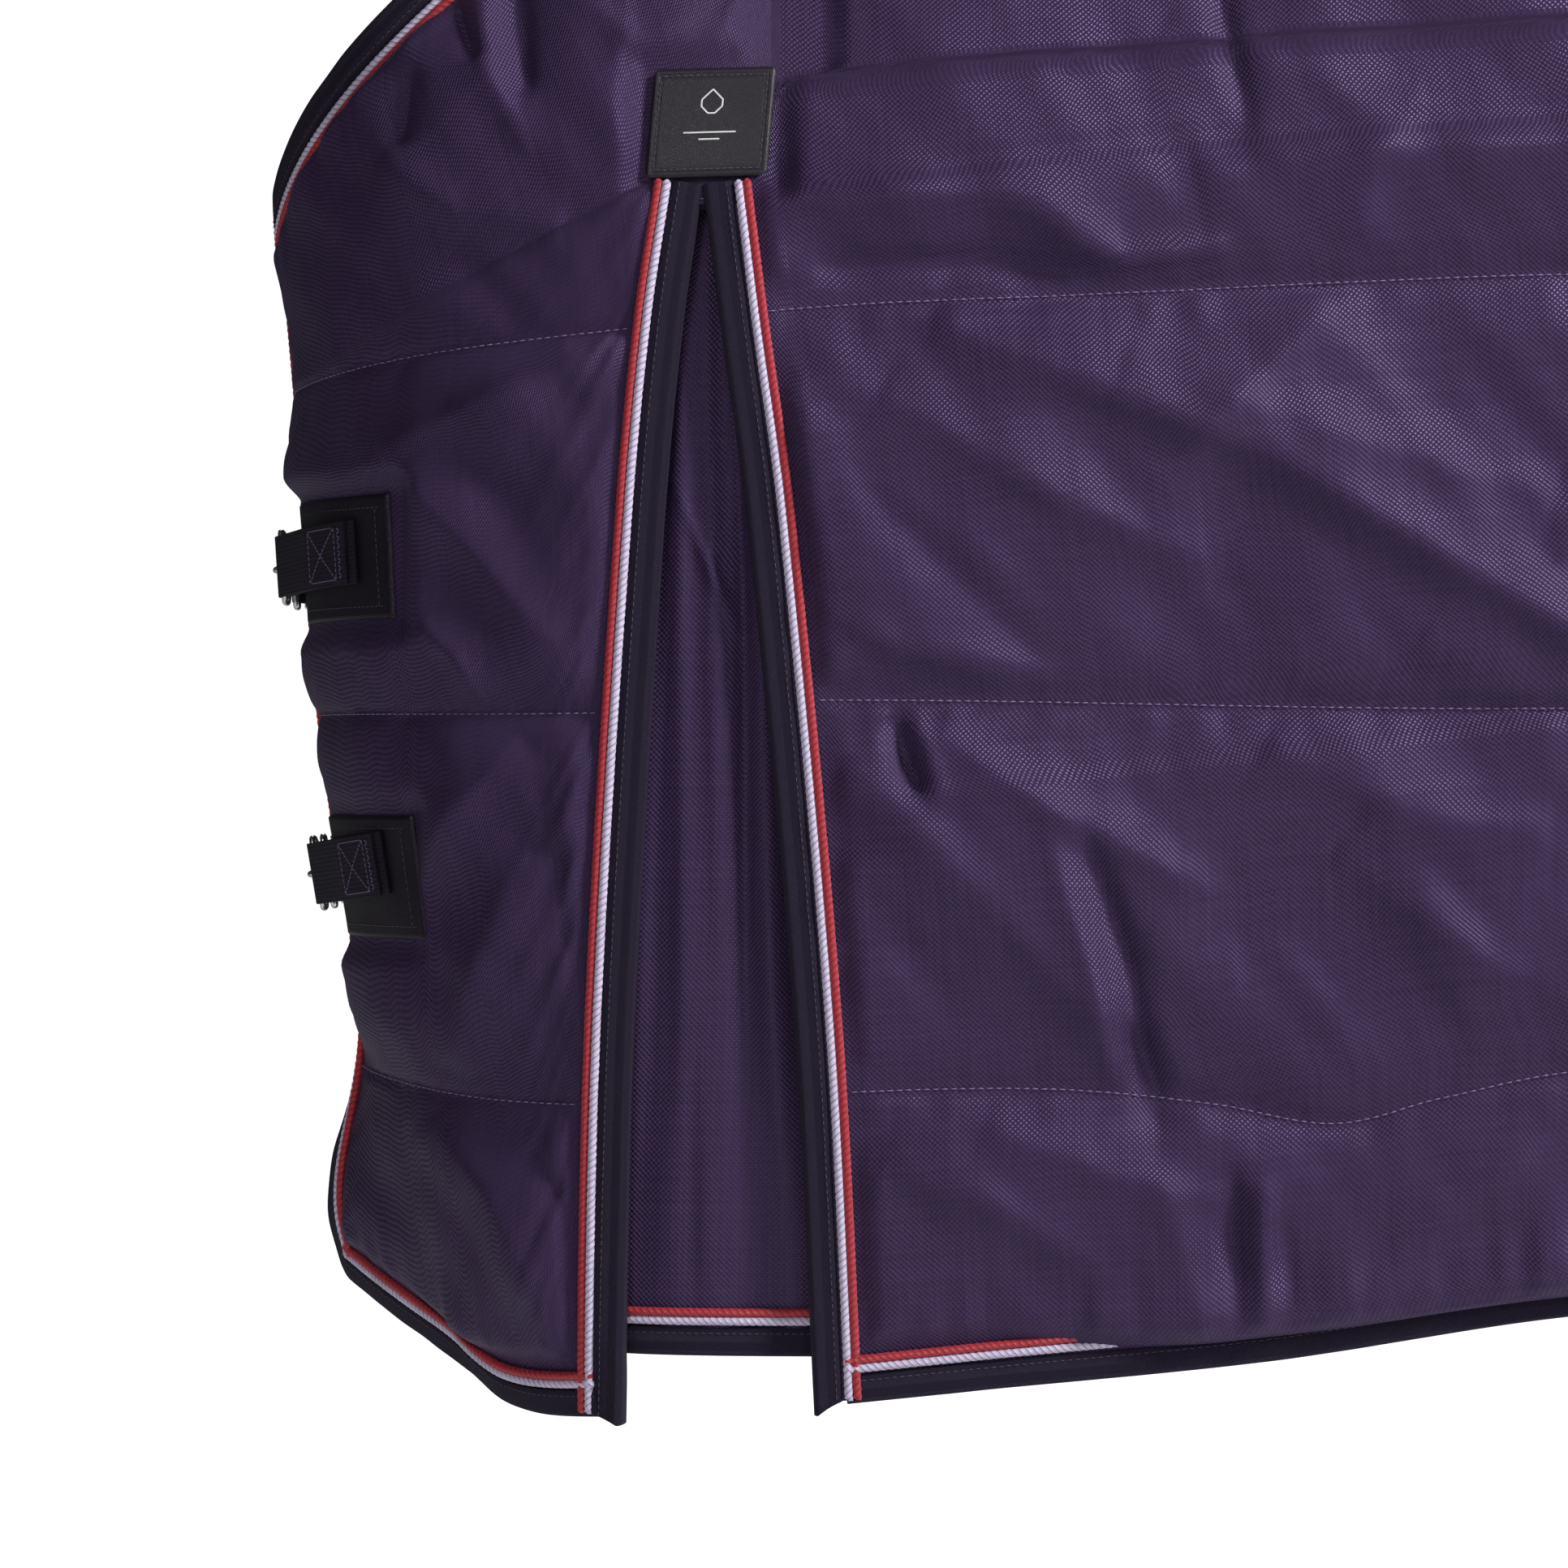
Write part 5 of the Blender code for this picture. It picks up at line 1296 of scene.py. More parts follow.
# ---- binding tape, cords and stitches ------------------------------------------------------------
def stitches(work: Patchwork, path: Array, up: Array, length: float = 0.0032, gap: float = 0.0012,
             thick: float = 0.0007) -> None:
    """Adds a row of stitches.

    Args:
        work: The mesh that they go into.
        path: The line that they follow.
        up: The direction off the cloth at each point of the path.
        length: Length of one stitch.
        gap: Space between two.
        thick: Thickness of the thread.
    """
    along = np.concatenate([[0], np.cumsum(np.linalg.norm(np.diff(path, axis=0), axis=1))])
    starts = np.arange(gap / 2, along[-1] - length, length + gap)
    turn = np.linspace(0, 2 * np.pi, 6)
    profile = ((0.0, 0.25, -0.4), (0.2, 0.9, 0.25), (0.8, 0.9, 0.25), (1.0, 0.25, -0.4))
    for start in starts:
        at = np.array([start + length * p[0] for p in profile])
        middle = np.stack([np.interp(at, along, path[:, k]) for k in range(3)], -1)
        rise = unit(np.stack([np.interp(at, along, up[:, k]) for k in range(3)], -1))
        ahead = unit(middle[-1] - middle[0])
        across = unit(np.cross(rise, ahead))
        size = np.array([p[1] for p in profile])[:, None, None] * thick / 2
        lift = np.array([p[2] for p in profile])[:, None, None] * thick
        ring = across[:, None] * np.cos(turn)[None, :,
                                              None] + rise[:, None] * np.sin(turn)[None, :, None] * 0.8
        work.add(middle[:, None] + ring * size + rise[:, None] * lift)


class CordLay(Enum):
    """The places of the two cords beside the tape, counted from it."""

    WHITE = 0
    RED = 1


@dataclass
class EdgeRun:
    """An edge of the cloth that is bound with tape and piped with two laid cords."""

    name: str
    path: Array
    inward: Array
    normal: Array
    tree: BVHTree | None = None
    stack: float = FORM.stack
    tape_w: float = 0.0140
    cord_d: float = 0.0052
    gap: float = 0.0013
    fold: float = 0.0026
    twist: float = 0.0130
    cords: bool = True
    body: str = "rug"
    probe: float = 0.030
    bend: Array | None = None

    def level(self, a: float, h: float) -> Array:
        """The points a distance in from the edge and a height off the cloth.

        Args:
            a: Distance in from the edge.
            h: Height off the cloth.

        Returns:
            A point for each point of the path.
        """
        if self.tree is None or a <= 0:
            return self.path + self.inward * a + self.normal * h
        if self.bend is None:
            self.bend = np.zeros((2, *self.path.shape))
            for k, share in enumerate((0.5, 1.0)):
                for i, (p, d) in enumerate(zip(self.path, self.inward)):
                    found = self.tree.find_nearest(Vector(p + d * self.probe * share))[0]
                    self.bend[k, i] = np.array(found) - p
        s = a / self.probe
        half, full = self.bend
        flat = self.path + half * (4 * s * (1 - s)) + full * (s * (2 * s - 1))
        return flat + self.normal * h

    def build_tape(self, finish: bpy.types.Material,
                   thread: bpy.types.Material) -> bpy.types.Object:
        """Builds the folded tape with its row of stitches.

        Args:
            finish: The tape's material.
            thread: The stitches' material.

        Returns:
            The tape.
        """
        top, low = self.gap + 0.0009, -self.stack - self.gap - 0.0009
        middle, half = (top + low) / 2, (top - low) / 2
        turn = np.linspace(90, 270, 9)
        section = [(self.tape_w, -0.0004), (self.tape_w + 0.0003, top * 0.55),
                   (self.tape_w - 0.0005, top)]
        section += [(self.tape_w * s, top + 0.0003 * math.sin(3.1 * s)) for s in (0.8, 0.6, 0.4, 0.2)]
        section += [(self.fold * math.cos(math.radians(a)), middle + half * math.sin(math.radians(a))) for a in turn]
        section += [(self.tape_w * s, low) for s in (0.3, 0.6, 0.97)] + [(self.tape_w, low + 0.0009)]
        rings = np.stack([self.level(a, h) for a, h in section], 1)
        widths = np.concatenate([[0], np.cumsum(np.linalg.norm(np.diff(np.array(section), axis=0), axis=1))])
        along = np.concatenate([[0], np.cumsum(np.linalg.norm(np.diff(self.path, axis=0), axis=1))])
        coords = np.stack(np.broadcast_arrays(widths[None], along[:, None]), -1)
        wave = noise(along / 0.021, 0.0, len(self.name)) * 0.00045
        rings = rings + self.normal[:, None] * wave[:, None, None]
        work = Patchwork()
        work.add(rings, coords)
        tape = work.build(f"{self.name}_tape", finish, self.body)
        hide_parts(f"{self.name}_binding")
        rows = Patchwork()
        for height, sign in ((top + 0.00045, 1), (low - 0.00035, -1)):
            stitches(rows, self.level(self.tape_w - 0.0030, height), self.normal * sign, 0.0030,
                     0.0014, 0.0006)
        rows.build(f"{self.name}_tape_stitching", thread, self.body)
        return tape

    def build_cords(self, finishes: Finishes) -> list[bpy.types.Object]:
        """Builds the laid cords, white by the tape and red beyond it.

        Args:
            finishes: The rug's finishes.

        Returns:
            The two cords.
        """
        made = []
        for lay in CordLay:
            offset = self.tape_w + 0.0016 + self.cord_d * (0.5 + 0.94 * lay.value)
            centre = resample(self.level(offset, self.cord_d * 0.36), 0.0016)
            up = spread(self.normal, len(centre))
            along = np.concatenate([[0], np.cumsum(np.linalg.norm(np.diff(centre, axis=0), axis=1))])
            ahead = tangents(centre)
            across = unit(np.cross(up, ahead))
            rise = np.cross(ahead, across)
            turn = np.linspace(0, 2 * np.pi, 13)
            lobes = np.abs(np.cos(1.5 * (turn[None] - 2 * np.pi * along[:, None] / self.twist)))
            radius = self.cord_d / 2 * (0.80 + 0.24 * lobes)
            radius[[0, -1]] *= 0.35
            ring = across[:, None] * np.cos(turn)[None, :, None] + rise[:, None] * np.sin(turn)[None, :, None]
            coords = np.stack(np.broadcast_arrays(turn[None] / (2 * np.pi) * CORD_ROUND, along[:, None]), -1)
            work = Patchwork()
            work.add(centre[:, None] + ring * radius[..., None], coords)
            colour = finishes.white if lay is CordLay.WHITE else finishes.red
            cord = work.build(f"{self.name}_{lay.name.lower()}_cord", colour, self.body)
            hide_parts(f"{self.name}_piping")
            made.append(cord)
        return made

    def dress(self, finishes: Finishes) -> None:
        """Builds the tape and, where there are any, the cords."""
        self.build_tape(finishes.tape, finishes.dark_thread)
        if self.cords:
            self.build_cords(finishes)


def run_along(name: str, panel: Panel, index: list[tuple[Array, Array]], tree: BVHTree,
              **sizes: object) -> EdgeRun:
    """An edge run through border points of a panel.

    Args:
        name: The run's name.
        panel: The panel.
        index: Rows and columns of the border points, one pair for each straight stretch.
        tree: The search tree of the form.
        **sizes: Sizes of the run that differ from the usual.

    Returns:
        The run, with rounded corners.
    """
    rows = np.concatenate([np.broadcast_to(r, np.broadcast(r, c).shape) for r, c in index])
    columns = np.concatenate([np.broadcast_to(c, np.broadcast(r, c).shape) for r, c in index])
    raw, raw_n = panel.points[rows, columns], panel.normals[rows, columns]
    keep = np.concatenate([[True], np.linalg.norm(np.diff(raw, axis=0), axis=1) > 1e-5])
    raw, raw_n = raw[keep], raw_n[keep]
    if len(index) > 1:
        raw = round_path(raw, 0.003, 3)
        raw_n = spread(raw_n, len(raw))
        found = [tree.find_nearest(Vector(p)) for p in raw]
        raw_n = np.array([np.array(f[1]) * (1 if np.array(f[1]) @ n > 0 else -1) for f, n in zip(found, raw_n)])
        raw_n = smoothed(raw_n, np.ones(9) / 9)
    ahead = tangents(raw)
    inward = unit(np.cross(raw_n, ahead))
    centre = panel.points[panel.points.shape[0] // 2, panel.points.shape[1] // 2]
    probe = len(raw) // 2
    if np.dot(inward[probe], centre - raw[probe]) < 0:
        inward = -inward
    return EdgeRun(name, raw, inward, raw_n, tree, **sizes)


def border(panel: Panel, *parts: tuple[str, float, float]) -> list[tuple[Array, Array]]:
    """Index pairs of stretches of a panel's border.

    Args:
        panel: The panel.
        *parts: Border letter from "fblr" and the shares between which it runs.

    Returns:
        Rows and columns of each stretch.
    """
    rows, columns = panel.points.shape[:2]
    made = []
    for letter, start, stop in parts:
        count = (columns if letter in "fb" else rows) - 1
        low, high = int(round(start * count)), int(round(stop * count))
        line = np.arange(low, high + 1) if high >= low else np.arange(low, high - 1, -1)
        fixed = {"f": 0, "b": rows - 1, "l": 0, "r": columns - 1}[letter]
        made.append((np.array(fixed), line) if letter in "fb" else (line, np.array(fixed)))
    return made


@dataclass
class Trims:
    """Every bound and piped edge of the cloth."""

    cloth: ClothBody
    finishes: Finishes
    drop: float = 0.007

    def build(self) -> None:
        """Builds the runs along the neckline, the front edges, the slits and the hems."""
        tree = self.cloth.tree()
        body = self.cloth.panels["body"]
        for side in Side:
            chest = self.cloth.panels[f"{side.label}_chest"]
            n = side.label
            first = self.first_row(chest) / (chest.points.shape[0] - 1)
            front = run_along(f"{n}_chest", chest, border(chest, ("l", 0.045, 1), ("b", 0, 0.945)),
                              tree)
            front.dress(self.finishes)
            slit = run_along(f"{n}_slit_front", chest, border(chest, ("r", first, 1)), tree)
            self.extend(slit).dress(self.finishes)
            left = side is Side.LEFT
            top = self.first_body_row(body, side)
            low = (top, 0.0) if left else (top, 1.0)
            slit = run_along(f"{n}_slit_rear", body, border(body, ("l", *low)), tree)
            self.extend(slit).dress(self.finishes)
            hem = ("f" if left else "b", 0.017, 1)
            rear = ("r", 0.0, 0.375) if left else ("r", 1.0, 0.625)
            run_along(f"{n}_hem", body, border(body, hem, rear), tree).dress(self.finishes)
        self.neck(tree)

    def first_row(self, chest: Panel) -> int:
        """The chest panel's row at the top of the slit."""
        return int(np.argmin(np.abs(chest.points[:, -1, 2] - FORM.slit_top_z)))

    def first_body_row(self, body: Panel, side: Side) -> float:
        """The share of the body's front edge at the top of a slit."""
        z = np.where(body.side[:, 0] == side.value, body.points[:, 0, 2], 9)
        return float(np.argmin(np.abs(z - FORM.slit_top_z))) / (len(z) - 1)

    def extend(self, run: EdgeRun) -> EdgeRun:
        """The same run, with its tape and cords ending just below the hem.

        Args:
            run: The run along a slit's edge.

        Returns:
            The same run, longer.
        """
        ahead = unit(run.path[-1] - run.path[-2])
        extra = np.array([run.path[-1] + ahead * self.drop * s for s in (0.5, 1.0)])
        run.path = np.concatenate([run.path, extra])
        run.inward = np.concatenate([run.inward, run.inward[-1:].repeat(2, 0)])
        run.normal = np.concatenate([run.normal, run.normal[-1:].repeat(2, 0)])
        return run

    def neck(self, tree: BVHTree) -> None:
        """The neckline, from the left front edge over the withers to the right one.

        Args:
            tree: The search tree of the form.
        """
        halves = []
        for side in Side:
            angle = np.concatenate([np.linspace(FORM.front_angle() - 0.4, 4, 90), 4 * np.linspace(1, 0, 40)[1:] ** 1.6])
            halves.append(FORM.surface(-angle, np.zeros_like(angle), side))
        path = np.concatenate([halves[0], halves[1][::-1][1:]])
        path = round_path(path, 0.003, 2)
        found = [tree.find_nearest(Vector(p)) for p in path]
        normal = np.array([np.array(f[1]) for f in found])
        centre = np.array([-0.75, 0.0, -0.35])
        normal *= np.where(np.sum(normal * (path - centre), -1) > 0, 1, -1)[:, None]
        normal = smoothed(normal, np.hanning(33) / np.hanning(33).sum())
        inward = unit(np.cross(normal, tangents(path)))
        inward = inward if inward[len(path) // 4,
                                  2] < 0 or inward[len(path) // 2, 0] > 0 else -inward
        run = EdgeRun("neck", path, inward, normal, tree, tape_w=0.0175, gap=0.0028)
        run.dress(self.finishes)


@dataclass
class QuiltStitching:
    """Rows of stitches along the quilting seams of each panel."""

    cloth: ClothBody
    finishes: Finishes

    def build(self) -> None:
        """Lays stitches along each seam, on each panel."""
        for name, panel in self.cloth.panels.items():
            work = Patchwork()
            surface = panel.at(panel.lifted(self.cloth.quilting))
            for sign in sorted(set(np.unique(panel.side))):
                rows = np.where(panel.side[:, 0] == sign)[0]
                for seam in self.cloth.quilting[int(sign)].seams:
                    self.along_seam(work, panel, surface, rows, seam)
            made = work.build(f"{name}_quilt_stitching", self.finishes.thread)

    def along_seam(self, work: Patchwork, panel: Panel, surface: Array, rows: Array,
                   seam: Line) -> None:
        """Adds the stitches of one seam on one side.

        Args:
            work: The mesh that they go into.
            panel: The panel.
            surface: Its quilted points.
            rows: The rows on this side.
            seam: The seam's line of heights.
        """
        points, normals = surface[rows], panel.normals[rows]
        level = points[..., 2] - read_line(seam, points[..., 0])
        if seam is self.cloth.quilting[-1].seams[0]:
            steep = np.maximum(np.sqrt(1 - normals[..., 2] ** 2), 0.35)
            raised = np.where(points[..., 2] > -0.2, -0.2 + (points[..., 2] + 0.2) / steep,
                              points[..., 2])
            level = raised - read_line(seam, points[..., 0])
        crossing = (level[:-1] > 0) != (level[1:] > 0)
        path, up = [], []
        for c in np.where(crossing.any(0))[0]:
            r = int(np.argmax(crossing[:, c]))
            share = level[r, c] / (level[r, c] - level[r + 1, c])
            if panel.edge[rows[r], c] < 0.027:
                continue
            path.append(points[r, c] + (points[r + 1, c] - points[r, c]) * share)
            up.append(normals[r, c])
        if len(path) > 3:
            path, up = np.array(path), np.array(up)
            stitches(work, path + up * 0.0006, up, 0.0036, 0.0016, 0.0009)


# ---- gussets and badges --------------------------------------------------------------------------
@dataclass
class Gussets:
    """The panels behind the shoulder slits, with their bound lower edges."""

    finishes: Finishes
    overlap: float = 0.034
    depth: float = 0.0160
    top_z: float = -0.332
    low_z: float = -0.992

    def build(self) -> None:
        """Builds both panels and their trims."""
        for side in Side:
            z = np.linspace(self.top_z, self.low_z, 170)[:, None]
            front = read_line(FORM.slit_front, z) - self.overlap
            rear = read_line(FORM.slit_rear, z) + self.overlap
            share = np.linspace(0, 1, 60)[None]
            x = front + (rear - front) * share
            points = FORM.place(x, z, side)
            out = FORM.outward(x, np.broadcast_to(z, x.shape), side)
            middle = np.array([-0.80, 0.0, -0.6])
            normals = grid_normals(points, middle)
            points = points - out * self.depth
            height = self.folds(share, z)
            work = Patchwork()
            work.add(points + normals * height[..., None], flip=side is Side.RIGHT)
            name = f"{side.label}_gusset"
            panel = work.build(f"{name}_cloth", self.finishes.shell)
            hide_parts(f"{name}_panel")
            path, normal = points[-1], normals[-1]
            inward = unit(np.cross(normal, tangents(path)))
            inward = inward if inward[30, 2] > 0 else -inward
            path = resample(path, 0.003)
            inward, normal = spread(inward, len(path)), spread(normal, len(path))
            EdgeRun(f"{name}_hem", path, inward, normal, stack=0.0015).dress(self.finishes)
            self.bridge(side)

    def folds(self, share: Array, z: Array) -> Array:
        """The panel's upright folds.

        Args:
            share: Share of the way across.
            z: Height of each point.

        Returns:
            The folds' height, in metres.
        """
        down = np.broadcast_to((self.top_z - z) / (self.top_z - self.low_z),
                               (z.shape[0], share.shape[1]))
        lines = ((0.40, 0.36, 0.0030, 0.050), (0.52, 0.50, 0.0040, 0.060),
                 (0.67, 0.60, -0.0035, 0.030),
                 (0.70, 0.74, 0.0045, 0.045), (0.30, 0.22, -0.0020, 0.050))
        value = np.zeros(down.shape)
        for top, low, lift, wide in lines:
            middle = top + (low - top) * down + 0.015 * np.sin(down * 7 + top * 9)
            value += lift * np.exp(-(((share - middle) / wide) ** 2)) * np.sin(np.pi * np.clip(down, 0.02, 0.97)) ** 0.6
        wave = noise(share / 0.10, down / 0.22,
                     77) * 0.0016 + noise(share / 0.05, down / 0.35, 78) * 0.0007
        value += wave * smooth(down, 0.02, 0.1) * smooth(1 - down, 0.03, 0.10)
        crease = np.exp(-(((share - 0.50 - (down - 0.31) * 2.2) / 0.03) ** 2)) * np.exp(-(((down - 0.31) / 0.05) ** 2))
        return value + 0.0025 * crease

    def bridge(self, side: Side) -> None:
        """The short crosswise tape that closes the top of the slit under the badge.

        Args:
            side: The side of the horse.
        """
        x = np.linspace(-0.8265, -0.7765, 26)[None]
        z = np.linspace(-0.300, -0.3305, 12)[:, None]
        points = FORM.place(x, z, side) + FORM.outward(x, z + 0 * x, side) * 0.0006
        coords = np.stack(np.broadcast_arrays(z * -1 + 0 * x, x + 0 * z), -1)
        work = Patchwork()
        work.add(points, coords, flip=side is Side.RIGHT)
        work.build(f"{side.label}_slit_bridge", self.finishes.tape)
        line = FORM.place(x[0], np.full(x.shape[1], -0.3275), side)
        up = FORM.outward(x[0], np.full(x.shape[1], -0.3275), side)
        rows = Patchwork()
        stitches(rows, line + up * 0.0010, up, 0.0030, 0.0014, 0.0006)
        rows.build(f"{side.label}_slit_bridge_stitching", self.finishes.dark_thread)


@dataclass
class Badge:
    """A small square of leatherette with a raised rim, a row of stitches and a plain mark."""

    side: Side
    finishes: Finishes
    width: float = 0.0705
    height: float = 0.0640
    x: float = -0.797
    z: float = -0.283
    offset: float = 0.0022
    thick: float = 0.0016

    def place(self, u: Array, v: Array, lift: Array | float) -> Array:
        """The point at a place on the badge, from its middle, and a height off it.

        Args:
            u: Distance across from the middle.
            v: Distance up from the middle.
            lift: Height off the badge's base.

        Returns:
            The points.
        """
        x = self.x + u + 0.085 * v
        z = self.z + v + 0.020 * u
        base = FORM.place(x, z, self.side)
        out = FORM.outward(np.full_like(x, self.x), np.full_like(x, self.z), self.side)
        return base + out * (np.asarray(lift) + self.offset)[..., None]

    def build(self) -> None:
        """Builds the plate, its stitches and its mark."""
        side = np.linspace(-1, 1, 61)
        u, v = np.meshgrid(side, side[::-1])
        corner = 1 - 0.035 * np.clip((np.abs(u) + np.abs(v) - 1.75) / 0.25, 0, 1) ** 2
        pu, pv = u * corner * self.width / 2, v * corner * self.height / 2
        rim = np.minimum(self.width / 2 - np.abs(pu), self.height / 2 - np.abs(pv))
        lift = self.thick * np.sqrt(np.clip(rim / 0.0014, 0, 1)) + 0.0005 * np.exp(-(((rim - 0.0020) / 0.0011) ** 2))
        lift = lift - 0.0005 * np.exp(-(((rim - 0.0046) / 0.0007) ** 2)) + 0.00025 * noise(pu / 0.02, pv / 0.02, 3)
        work = Patchwork()
        coords = np.stack([pu, pv], -1)
        work.add(self.place(pu, pv, lift), coords, flip=self.side is Side.RIGHT)
        name = self.side.label
        plate = work.build(f"{name}_badge_plate", self.finishes.badge)
        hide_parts(f"{name}_badge")
        a, b = self.width / 2 - 0.0046, self.height / 2 - 0.0046
        rows = Patchwork()
        up = FORM.outward(np.array([self.x]), np.array([self.z]), self.side)
        for start, stop in (((-a, b), (a, b)), ((a, b), (a, -b)), ((a, -b), (-a, -b)),
                            ((-a, -b), (-a, b))):
            share = np.linspace(0, 1, 30)
            line = self.place(start[0] + (stop[0] - start[0]) * share,
                              start[1] + (stop[1] - start[1]) * share,
                              np.full(30, self.thick - 0.0001))
            stitches(rows, line, up.repeat(30, 0), 0.0028, 0.0010, 0.0006)
        rows.build(f"{name}_badge_stitching", self.finishes.dark_thread)
        self.mark()

    def mark(self) -> None:
        """The plain mark: an open diamond over a short bar."""
        work = Patchwork()
        loops = [[(0.0, 0.0190), (0.0080, 0.0110), (0.0, 0.0030), (-0.0080, 0.0110), (0.0, 0.0190)]]
        loops += [[(-0.0150, -0.0062), (0.0150, -0.0062)], [(-0.0060, -0.0102), (0.0060, -0.0102)]]
        for loop in loops:
            line = round_path(np.array([(u, v, 0.0) for u, v in loop]), 0.0006,
                              1 if len(loop) > 2 else 0)
            ahead = tangents(line)
            across = np.stack([-ahead[:, 1], ahead[:, 0]], -1) * 0.00045
            u = np.stack([line[:, 0] - across[:, 0], line[:, 0], line[:, 0] + across[:, 0]], 1)
            v = np.stack([line[:, 1] - across[:, 1], line[:, 1], line[:, 1] + across[:, 1]], 1)
            lift = np.broadcast_to(np.array([0.0001, 0.00035, 0.0001]) + self.thick, u.shape)
            work.add(self.place(u, v, lift), np.stack([u, v], -1), flip=self.side is Side.LEFT)
        work.build(f"{self.side.label}_badge_mark", self.finishes.print_white)


# ---- chest fasteners -----------------------------------------------------------------------------
@dataclass
class Fastener:
    """One chest fastener: its patches, webbing and stitches. Its metal keeps its CAD shapes."""

    name: str
    z: float
    finishes: Finishes
    webbing: float = 0.038
    webbing_t: float = 0.0016
    patch_h: float = 0.073
    ring_y: float = -0.050
    ring_offset: float = 0.0108
    ring_wire: float = 0.0040
    eye_y: float = 0.028
    eye_wire: float = 0.0040
    tab_offset: float = 0.0046

    @property
    def bar_x(self) -> float:
        """X of the D-ring's straight bar."""
        return float(read_line(FORM.chest, self.z)) - self.ring_offset

    def plan(self, angle: Array, side: Side, offset: Array | float) -> Array:
        """Points in front of the chest by an offset, at the fastener's height.

        Args:
            angle: Degrees round the chest.
            side: The side of the horse.
            offset: Distance off the chest.

        Returns:
            The points.
        """
        angle = np.asarray(angle, float)
        z = np.full(angle.shape, self.z)
        p = FORM.chest_point(angle, z, side)
        ahead = FORM.chest_point(angle + 1, z, side) - FORM.chest_point(angle - 1, z, side)
        out = unit(np.stack([ahead[..., 1], -ahead[..., 0], 0 * angle], -1))
        out = out * np.where(out[..., :1] < 0, 1, -1)
        return p + out * np.broadcast_to(np.asarray(offset, float), angle.shape)[..., None]

    def lean(self, points: Array) -> Array:
        """Points turned about the level line through the bar, to lie parallel to the chest.

        Args:
            points: Upright points.

        Returns:
            The leaning points.
        """
        slope = (read_line(FORM.chest, self.z + 0.03) - read_line(FORM.chest, self.z - 0.03)) / 0.06
        angle = math.atan(float(slope))
        pivot = np.array([self.bar_x, 0.0, self.z])
        x, z = points[..., 0] - pivot[0], points[..., 2] - pivot[2]
        turned_x = x * math.cos(angle) + z * math.sin(angle)
        turned_z = -x * math.sin(angle) + z * math.cos(angle)
        return np.stack([turned_x + pivot[0], points[..., 1], turned_z + pivot[2]], -1)

    def arc(self, centre: tuple[float, float], radius: float, first: float, last: float) -> Array:
        """Points of an arc in plan."""
        a = np.radians(np.linspace(first, last, 15))
        return np.stack([centre[0] + radius * np.cos(a), centre[1] + radius * np.sin(a), np.full(15, self.z)], -1)

    def ribbon(self, path: Array, name: str, node: str) -> tuple[bpy.types.Object, Array, Array]:
        """A strap along a level path, standing upright.

        Args:
            path: The middle line.
            name: The piece's name.
            node: The CAD node that it stands for.

        Returns:
            The piece, its middle line and its normals.
        """
        path = resample(path, 0.0018)
        up = np.array([0.0, 0.0, 1.0]) * np.ones_like(path)
        out = unit(np.cross(tangents(path), up))
        grid = self.lean(sweep(path, up, out, strap_section(self.webbing, self.webbing_t)))
        work = Patchwork()
        work.add(grid)
        for end in (0, -1):
            ring = grid[end]
            work.add(np.stack([ring, ring.mean(0)[None].repeat(len(ring), 0)]))
        made = work.build(name, self.finishes.webbing)
        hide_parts(node)
        return made, path, out

    def build(self) -> None:
        """Builds the patches, the near tab and the far strap."""
        for side, label in ((Side.LEFT, "near"), (Side.RIGHT, "far")):
            self.patch(side, f"{self.name}_{label}_patch")
        wrap = self.ring_wire / 2 + 0.0003 + self.webbing_t / 2
        under = self.plan(np.linspace(55, 72, 8), Side.LEFT, self.tab_offset)
        turn = self.arc((self.bar_x, self.ring_y), wrap, 0, 180)
        over = self.plan(np.linspace(69, 56.5, 8), Side.LEFT,
                         self.tab_offset + self.webbing_t + 0.0006)
        self.ribbon(np.concatenate([under, turn, over]), f"{self.name}_tab_webbing",
                    f"{self.name}_near_tab")
        self.cross_stitch(over[:, :])
        loop = self.eye_wire / 2 + 0.0003 + self.webbing_t / 2
        turn = self.arc((self.bar_x, self.eye_y), loop, 360, 180)
        heights = np.interp([78.0, 72.0, 66.0, 58.0], [58, 66, 72, 78],
                            [0.0044, 0.0046, 0.0054, 0.0068])
        anchor = self.plan(np.array([78.0, 72.0, 66.0, 58.0]), Side.RIGHT, heights)
        back = turn[:1] * 0.70 + anchor[:1] * 0.30
        self.ribbon(np.concatenate([back, turn, anchor]), f"{self.name}_strap_webbing",
                    f"{self.name}_strap")

